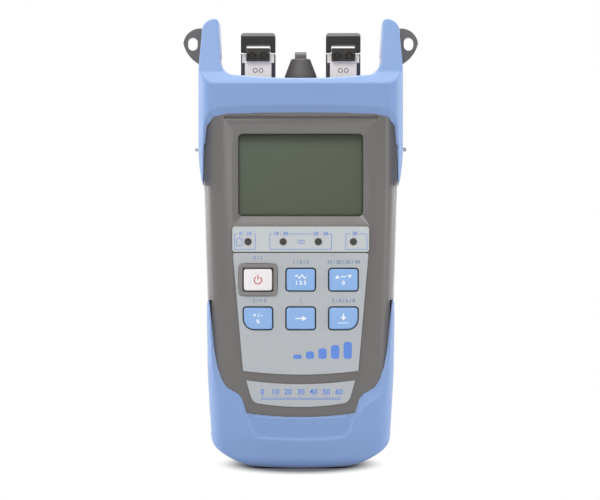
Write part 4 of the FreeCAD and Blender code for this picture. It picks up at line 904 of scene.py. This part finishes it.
@dataclass
class PrintedMarks:
    """Flat prints, each an outline raised by the thickness of its ink.

    All measures are in millimetres, and the surface is at face_y. Each
    outline lies a hair higher than the last, so that none share a plane.
    """

    face_y: float
    thickness: float = 0.03
    hair: float = 0.0004
    bar_rounding: float = 0.3
    points: list = field(default_factory=list)
    faces: list = field(default_factory=list)

    def polygon(self, loop: np.ndarray) -> None:
        """Add one filled convex outline.

        Args:
            loop: Points (x, z), counter-clockwise from the front.
        """
        count, start = len(loop), sum(len(block) for block in self.points)
        back = np.full(count, self.face_y)
        front = back - self.thickness - self.hair * len(self.points)
        block = [np.stack([loop[:, 0], y, loop[:, 1]], axis=1) for y in (front, back)]
        self.points.append(np.concatenate(block) * MM)
        step = np.arange(count)
        ahead = (step + 1) % count
        sides = np.stack([step, step + count, ahead + count, ahead], axis=1)
        self.faces += (sides + start).tolist()
        self.faces.append((step + start).tolist())
        self.faces.append((step[::-1] + count + start).tolist())

    def bar(self, x: float, z: float, wide: float, tall: float) -> None:
        """Add a bar with slightly rounded ends, by its middle and size."""
        radius = min(wide, tall) * self.bar_rounding
        self.polygon(rounded_loop(wide / 2, tall / 2, [radius] * 4, 3) + np.array([x, z]))

    def figures(self, text: str, x: float, z: float, tall: float, bold: float) -> None:
        """Add plain numbers and signs of the built-in typeface.

        Args:
            text: Digits and signs only.
            x: The row's middle.
            z: The row's level.
            tall: The height of a digit.
            bold: How far each stroke is widened.
        """
        curve = bpy.data.curves.new("figures", "FONT")
        curve.body = text
        curve.align_x, curve.align_y = "CENTER", "CENTER"
        curve.size = tall / DIGIT_SHARE
        curve.offset = bold
        curve.resolution_u = 3
        curve.extrude = self.thickness / 2
        typed = bpy.data.objects.new("figures", curve)
        mesh = bpy.data.meshes.new_from_object(typed)
        face_outwards(mesh)
        right, up, out = vertex_places(mesh).reshape(-1, 3).T
        start = sum(len(block) for block in self.points)
        middle = self.face_y - self.thickness / 2 - self.hair * len(self.points)
        self.points.append(np.stack([right + x, middle - out, up + z], axis=1) * MM)
        self.faces += [[start + corner for corner in face.vertices] for face in mesh.polygons]
        bpy.data.meshes.remove(mesh)
        bpy.data.objects.remove(typed)

    def ribbon(self, left: np.ndarray, right: np.ndarray) -> None:
        """Add the strip between two rows of points, one convex piece a stretch."""
        for loop in np.stack([left[:-1], right[:-1], right[1:], left[1:]], axis=1):
            self.polygon(loop)

    def wave(self, x: float, z: float, long: float, tall: float, width: float) -> None:
        """Add two turns of a sine line, by its middle, size and line width."""
        share = np.linspace(-0.5, 0.5, 33)
        up = np.sin(share * 4 * math.pi) * (tall - width) / 2
        line = np.stack([x + share * long, z + up], axis=1)
        run = np.gradient(line, axis=0)
        run /= np.linalg.norm(run, axis=1)[:, None]
        side = np.stack([-run[:, 1], run[:, 0]], axis=1) * width / 2
        self.ribbon(line + side, line - side)

    def arc(self, x: float, z: float, radius: float, width: float,
            span: tuple[float, float] = (0, 360)) -> None:
        """Add an arc of a ring.

        Args:
            x: The ring's middle.
            z: The ring's level.
            radius: The ring's middle radius.
            width: The line's width.
            span: First and last angle in degrees, from +X towards +Z.
        """
        angle = np.radians(np.linspace(*span, 25))
        spoke = np.stack([np.cos(angle), np.sin(angle)], axis=1)
        middle = np.array([x, z])
        self.ribbon(middle + spoke * (radius - width / 2), middle + spoke * (radius + width / 2))

    def wedge(self, x: float, z: float, wide: float, tall: float, turn: float) -> None:
        """Add a solid triangle that points along an angle in degrees from +X."""
        corners = np.array([(-tall / 2, -wide / 2), (tall / 2, 0.0), (-tall / 2, wide / 2)])
        cosine, sine = math.cos(math.radians(turn)), math.sin(math.radians(turn))
        self.polygon(corners @ np.array([(cosine, sine), (-sine, cosine)]) + np.array([x, z]))

    def frame_line(self, low: tuple, high: tuple, width: float,
                   breaks: Sequence[tuple[float, float]]) -> None:
        """Add a rectangular frame of thin lines, with gaps along its top.

        Args:
            low: Its low left corner (x, z).
            high: Its high right corner (x, z).
            width: The line's width.
            breaks: Stretches (from x, to x) of the top line left out.
        """
        (x0, z0), (x1, z1) = low, high
        for x in (x0, x1):
            self.bar(x, (z0 + z1) / 2, width, z1 - z0)
        self.bar((x0 + x1) / 2, z0, x1 - x0, width)
        edges = [x0, *(edge for pair in breaks for edge in pair), x1]
        for start, end in zip(edges[::2], edges[1::2]):
            self.bar((start + end) / 2, z1, end - start, width)

    def piece(self, name: str, finish: Moulding, slot: str, body: str) -> None:
        """Make all that was added one piece.

        Args:
            name: The piece's name.
            finish: The ink.
            slot: The record's slot, handed on to dress.
            body: The body that it rides on.
        """
        made = link_mesh(name, np.concatenate(self.points), self.faces, smooth=30)
        dress(made, finish, slot)
        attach(made, body)


def face_of(node: str) -> tuple[float, float, float, float, float]:
    """The front of a CAD node, in millimetres.

    Args:
        node: The node's name.

    Returns:
        The middle x, the middle z, half the width, half the height and the y
        of its front.
    """
    low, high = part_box(node)
    x, z = (low[0] + high[0]) / 2 / MM, (low[2] + high[2]) / 2 / MM
    return x, z, (high[0] - low[0]) / 2 / MM, (high[2] - low[2]) / 2 / MM, low[1] / MM


@dataclass
class FrontPanels:
    """The three pale panels with their prints and indicator lights."""

    line: float = 0.22
    edge: float = 0.22
    light_edge: float = 0.25
    type_tall: float = 1.5
    type_bold: float = 0.05

    def build(self) -> None:
        """Dress the panels and print them."""
        for node in ("keypad_panel", "name_plate"):
            dress(softened(node, self.edge), PANEL)
        # the indicator panel takes the paler copy of the panel grey, as painted light
        dress(softened("indicator_panel", self.edge), PANEL_PAINTED_LIGHT, "panel_grey")
        for number in range(1, 5):
            dress(softened(f"indicator_light_{number}", self.light_edge), LAMP)
        self.print_indicators()
        self.print_labels()
        self.print_scales()

    def print_indicators(self) -> None:
        """Frames around the lights, a small house, two rings and plain numbers."""
        _, _, half, _, face = face_of("indicator_panel")
        marks = PrintedMarks(face)
        lights = [face_of(f"indicator_light_{number}") for number in range(1, 5)]
        level = lights[0][1]
        low, high = level - 3.2, level + 3.3
        reach, far, rim = 3.2, 5.6, 0.9  # past one light, past two, and from the panel's edge
        first, second, third, last = (light[0] for light in lights)
        frames = (
            (rim - half, first + reach, ((2.0 - half, first + 2.4),)),
            (second - far, third + far,
             ((second - 4.4, second + 2.4), (third - 2.2, third + 4.2))),
            (last - reach, half - rim, ((last - 1.2, last + 2.4),)),
        )
        for start, end, breaks in frames:
            marks.frame_line((start, low), (end, high), self.line, breaks)
        rows = ((first - 1.1, "0 - 10"), (second - 1.0, "10 - 20"), (third + 1.0, "20 - 30"),
                (last + 0.6, "30"))
        for x, text in rows:
            marks.figures(text, x, high + 0.1, self.type_tall, self.type_bold)
        house = first - 3.65
        for wall in (house - 1.15, house + 1.15):
            marks.bar(wall, level - 0.5, self.line, 2.4)
        marks.bar(house, level - 1.7, 2.3, self.line)
        for side in (-1, 1):
            slope = np.array([(side * 1.65, 0.45), (side * 1.65, 0.75), (0, 1.95), (0, 1.65)])
            marks.polygon(slope[::side] + np.array([house, level]))
        middle = (second + third) / 2
        for ring in (middle - 0.5, middle + 0.8):
            marks.arc(ring, level, 0.75, self.line)
        marks.piece("indicator_print", INK_BLUE, "key_blue", "housing")

    def print_labels(self) -> None:
        """Plain numbers above each key."""
        marks = PrintedMarks(face_of("keypad_panel")[4])
        rows = {
            "power_button": "0 / 1", "wavelength_button": "1 / 2 / 3",
            "reference_button": "10 / 20 / 30 / 40", "unit_button": "- 5 / + 5",
            "save_button": "1", "mode_button": "2 / 4 / 6 / 8",
        }
        for node, text in rows.items():
            x, z, _, half, _ = face_of(node)
            lift = 3.3 if node == "power_button" else 1.5
            marks.figures(text, x, z + half + lift, self.type_tall, self.type_bold)
        marks.piece("key_label_print", INK_SLATE, "key_blue", "housing")

    def print_scales(self) -> None:
        """A plain level sign of five rising bars, and a numbered scale."""
        marks = PrintedMarks(face_of("keypad_panel")[4])
        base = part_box("keypad_panel")[0][2] / MM + 6.6
        for step in range(5):
            tall = 1.8 + step * 1.35
            marks.bar(-1.4 + step * 5.3, base + tall / 2, 3.5, tall)
        _, level, half, _, marks.face_y = face_of("name_plate")
        pitch, foot = half * 0.0585, level - 2.3
        marks.bar(0, foot, pitch * 25, 0.3)
        for step in range(-12, 13):
            numbered = step % 4 == 0
            tall = 1.5 if numbered else 0.8
            marks.bar(step * pitch, foot + tall / 2, 0.24, tall)
            if numbered:
                marks.figures(str((step + 12) * 5 // 2), step * pitch, level + 0.7, 2.3, 0.06)
        marks.piece("panel_print", INK_BLUE, "key_blue", "housing")


@dataclass
class Keypad:
    """Six soft key caps, the power key's frame and the mat behind."""

    half_wide: float = 5.95
    half_tall: float = 4.55
    corner: float = 1.05
    swept: float = 4.45
    edge: float = 0.7
    dish: float = 0.18
    back: float = 3.6
    rim_wide: float = 1.75
    rim_edge: float = 0.35
    rim_corner: float = 1.4
    rim_taper: float = 0.4
    rim_least: float = 0.3
    cap_least: float = 0.08
    ink: float = 0.05
    stroke: float = 0.42
    type_tall: float = 1.6
    type_bold: float = 0.08
    upper: float = 1.3
    lower: float = -1.35

    def cap(self, node: str) -> bpy.types.Object:
        """A key cap as stacked rings of its outline.

        The wall goes straight forward, turns over a quarter circle of the edge
        radius, and the crown falls by the dish depth towards the middle, with
        the square of the distance from the rim.

        Args:
            node: The button that the cap replaces.

        Returns:
            The new piece.
        """
        x, z, _, _, front = face_of(node)
        corners = np.full(4, self.corner)
        if node in ("unit_button", "mode_button"):
            corners[0 if node == "unit_button" else 1] = self.swept
        inset, depth = rounded_edge(self.edge, front, 7)
        share = np.array([0.25, 0.5, 0.75, 0.97])
        crown = self.edge + share * (self.half_tall - self.edge - 0.1)
        fall = front + self.dish * share * (2 - share)
        insets = np.concatenate([[0.0], inset, crown])
        depths = np.concatenate([[front + self.back], depth, fall])
        radii = np.maximum(corners - insets[:, None], self.cap_least)
        half = (self.half_wide, self.half_tall)
        points = stacked_outlines((x, z), half, insets, depths, radii)
        made = link_mesh(f"{node}_cap", points, ring_faces(*points.shape[:2]), smooth=50)
        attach(made, node)
        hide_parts(node)
        return made

    def surround(self) -> bpy.types.Object:
        """The power key's frame as a ring carried round its rounded outline.

        The ring's section starts at the back outside, comes forward, turns
        over the edge radius, crosses the flat front and goes back inside.

        Returns:
            The new piece.
        """
        x, z, half_x, half_z, front = face_of("power_frame")
        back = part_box("power_frame")[1][1] / MM
        inset, depth = rounded_edge(self.rim_edge, front, 5)
        insets = np.concatenate([[0.0], inset, (self.rim_wide - inset)[::-1], [self.rim_wide]])
        depths = np.concatenate([[back], depth, depth[::-1], [back]])
        radii = np.maximum(self.rim_corner - insets * self.rim_taper, self.rim_least)
        radii = radii[:, None].repeat(4, axis=1)
        points = stacked_outlines((x, z), (half_x, half_z), insets, depths, radii)
        faces = ring_faces(*points.shape[:2], joined=True)
        made = link_mesh("power_frame_ring", points, faces, smooth=50)
        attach(made, body_of(frame["nodes"]["power_frame"])[0])
        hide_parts("power_frame")
        return made

    def build(self) -> None:
        """Build and dress the caps, then mark them."""
        for node in ("power_button", "wavelength_button", "reference_button", "unit_button",
                     "save_button", "mode_button"):
            dress(self.cap(node), KEY_WHITE if node == "power_button" else KEY_BLUE)
            self.mark(node)
        dress(self.surround(), KEY_FRAME)
        paint_node("keypad_mat", MAT)

    def mark(self, node: str) -> None:
        """Print a key's sign: the usual power sign, an arrow, a wave or numbers."""
        x, z, _, _, front = face_of(node)
        marks = PrintedMarks(front + self.dish, self.ink)
        finish, slot = INK_WHITE, "key_blue"
        upper = z + self.upper
        if node == "power_button":
            marks.arc(x, z - 0.2, 1.55, self.stroke, (122, 418))
            marks.bar(x, z + 1.1, self.stroke, 2.0)
            finish, slot = INK_RED, "key_white"
        elif node == "wavelength_button":
            marks.wave(x, upper, 4.6, 1.7, self.stroke)
        elif node == "reference_button":
            marks.wedge(x - 2.6, upper, 1.9, 1.6, 90)
            marks.bar(x, upper, 2.4, self.stroke)
            marks.wedge(x + 2.6, upper, 1.9, 1.6, 270)
        elif node == "unit_button":
            marks.figures("+ / -", x, upper, 1.7, self.type_bold)
        elif node == "save_button":
            marks.bar(x - 0.7, z, 3.2, 0.55)
            marks.wedge(x + 1.6, z, 2.2, 1.7, 0)
        else:
            marks.bar(x, z + 1.6, 0.6, 2.0)
            marks.wedge(x, z - 0.1, 2.4, 1.6, 270)
            marks.bar(x, z - 2.0, 4.6, 0.5)
        rows = {"wavelength_button": "1 2 3", "reference_button": "0", "unit_button": "%"}
        if node in rows:
            marks.figures(rows[node], x, z + self.lower, self.type_tall, self.type_bold)
        marks.piece(f"{node}_sign", finish, slot, node)


@dataclass
class Ports:
    """Both capped fibre ports and the light source's port between them."""

    def build(self) -> None:
        """Dress every piece of the ports."""
        for side in ("left", "right"):
            dress(softened(f"{side}_port", 0.25), SLATE)
            dress(softened(f"{side}_port_shield", 0.12), NICKEL)
            dress(rubbery(f"{side}_hinge_block", voxel=0.15, passes=3, keep=0.3), CAP_BLACK)
            dress(rubbery(f"{side}_dust_cap", voxel=0.2, passes=4, keep=0.3), CAP_BLACK)
            dress(softened(f"{side}_hinge_rivets", 0.15), BLACKED, "steel")
            dress(softened(f"{side}_hinge_pin", 0.08), STEEL)
            dress(softened(f"{side}_port_sleeve", 0.1), CERAMIC)
            paint_node(f"{side}_detector", CAN)
            self.engrave(side)
        dress(softened("laser_port", 0.12), NICKEL)
        dress(softened("laser_port_cap", 0.3), CAP_RUBBER)
        paint_node("laser_module", CAN)

    def engrave(self, side: str) -> None:
        """Two small rings on the shield, where a sign would be stamped."""
        x, z, _, half, face = face_of(f"{side}_port_shield")
        marks = PrintedMarks(face, 0.02)
        for ring in (x - 1.25, x + 1.25):
            marks.arc(ring, z - half + 4.6, 0.85, 0.28)
        marks.piece(f"{side}_shield_stamp", SLATE, "port_slate", "housing")


@dataclass
class Insides:
    """What only shows when the door is off or the keys are pressed."""

    def build(self) -> None:
        """Dress the inner CAD nodes."""
        paint_node("main_board", BOARD)
        paint_node("battery_contacts", NICKEL)
        for number in range(1, 4):
            dress(softened(f"battery_cell_{number}", 0.2), WRAP)


# ---- the studio


@dataclass(frozen=True)
class Lamp:
    """A square soft lamp: its name, place, side in metres and power in watts."""

    name: str
    place: tuple[float, float, float]
    size: float
    power: float

    def build(self) -> None:
        """Set the lamp up, facing the middle of the meter."""
        data = bpy.data.lights.new(self.name, "AREA")
        data.size = self.size
        data.energy = self.power
        aimed(self.name, data, Vector(self.place), (0, 0, 0.09))


@dataclass
class Studio:
    """Pale floor, white surroundings, soft lamps and the camera."""

    distance: float = 1.4
    elevation: float = 1.0
    frame_width: float = 0.2571
    look_at: tuple[float, float, float] = (-0.0003, 0.0, 0.0917)
    front_strength: float = 0.24
    side_strength: float = 0.82
    floor_side: float = 6.0
    floor_pale: tuple = (0.6, 0.6, 0.61, 1.0)
    # the floor colour the eye sees near the foot, darker than the lit floor: a painted shadow
    floor_painted_shadow: tuple = (0.16, 0.16, 0.18, 1.0)
    oval_start: float = 0.8
    oval_end: float = 1.4
    lamps: tuple[Lamp, ...] = (
        Lamp("left_lamp", (-1.2, 0.12, 0.30), 1.0, 8.8),
        Lamp("right_lamp", (1.2, 0.12, 0.30), 1.0, 7.0),
        Lamp("front_lamp", (-0.4, -1.5, 1.1), 0.9, 12.0),
        Lamp("fill_lamp", (0.8, -1.6, 0.35), 0.6, 3.2),
        Lamp("top_lamp", (0.0, 0.20, 1.3), 0.7, 13.0),
    )

    def world(self) -> None:
        """White to the eye, and for the light a tent that is dim in front.

        The strength follows the direction's share towards the viewer's side:
        full at the sides and behind, and a small part of that in front.
        """
        world = bpy.data.worlds.new("studio")
        bpy.context.scene.world = world
        world.use_nodes = True
        world.node_tree.nodes.clear()
        tree = Tree(world.node_tree)
        _, along, _ = tree.axes(tree.node("ShaderNodeNewGeometry").outputs["Incoming"])
        ends = (self.side_strength, self.front_strength)
        tent = tree.ramp(along, (0.1, 0.85), ends, "SMOOTHSTEP")
        path = tree.node("ShaderNodeLightPath").outputs
        seen = tree.maths("MAXIMUM", path["Is Camera Ray"], path["Is Transmission Ray"])
        inputs = {"Strength": tree.maths("MAXIMUM", tent, seen), "Color": (1.0, 1.0, 1.0, 1.0)}
        sky = tree.node("ShaderNodeBackground", inputs=inputs)
        tree.node("ShaderNodeOutputWorld", inputs={"Surface": sky.outputs[0]})

    def floor_surface(self, tree: Tree) -> Socket:
        """A matt floor that fades out away from what stands on it.

        Within an oval round the foot the eye sees the matt floor in a darker
        colour than the floor that lights the meter from below: a painted shadow
        that deepens its real shadow. Beyond it the eye sees the plain white of
        the surroundings.

        Args:
            tree: The material's tree.

        Returns:
            The shader's output.
        """
        seen = tree.node("ShaderNodeLightPath").outputs["Is Camera Ray"]
        # painted shadow: the eye sees the darker colour near the foot, the light sees the pale
        # one
        tint = tree.blend(seen, self.floor_pale, self.floor_painted_shadow)
        matt = tree.node("ShaderNodeBsdfDiffuse", inputs={"Color": tint})
        _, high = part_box("bottom_guard")
        scale = (1.5 / high[0], 0.55 / high[1], 1.0)
        oval = tree.mapping((0.0, 0.0, 0.0), scale)
        reach = tree.node("ShaderNodeVectorMath", operation="LENGTH", inputs={0: oval})
        span = (self.oval_start, self.oval_end)
        away = tree.ramp(reach.outputs["Value"], span, kind="SMOOTHSTEP")
        plain = tree.node("ShaderNodeEmission")
        inputs = {0: tree.maths("MULTIPLY", away, seen), 1: matt.outputs[0], 2: plain.outputs[0]}
        return tree.node("ShaderNodeMixShader", inputs=inputs).outputs[0]

    def floor(self) -> None:
        """A wide white floor that keeps the shadow of what stands on it."""
        corners = np.array([(-1, -1, 0), (1, -1, 0), (1, 1, 0), (-1, 1, 0)]) * self.floor_side
        piece = link_mesh("studio_floor", corners, [(0, 1, 2, 3)], smooth=30)
        piece.data.materials.append(new_material("floor_white", self.floor_surface))

    def camera(self) -> None:
        """A long lens level with the meter and a little above it."""
        data = bpy.data.cameras.new("studio_camera")
        data.sensor_width = 36.0
        data.lens = 36.0 * self.distance / self.frame_width
        data.clip_end = 30.0
        tilt = math.radians(self.elevation)
        offset = Vector((0, -math.cos(tilt), math.sin(tilt))) * self.distance
        place = Vector(self.look_at) + offset
        bpy.context.scene.camera = aimed("studio_camera", data, place, self.look_at)

    def build(self) -> None:
        """Set the camera, the lamps, the floor and the world."""
        self.camera()
        self.world()
        self.floor()
        for lamp in self.lamps:
            lamp.build()
        bpy.context.scene.view_settings.view_transform = "Standard"


def main() -> None:
    """Build the studio and every sub-assembly, and report each."""
    logging.basicConfig(level=logging.INFO, format="%(message)s")
    for part in (Studio(), RubberGuards(), PlasticCase(), Display(), FrontPanels(), Keypad(),
                 Ports(), Insides()):
        part.build()
        LOG.info("built %s", type(part).__name__)


if __name__ == "__main__":
    main()
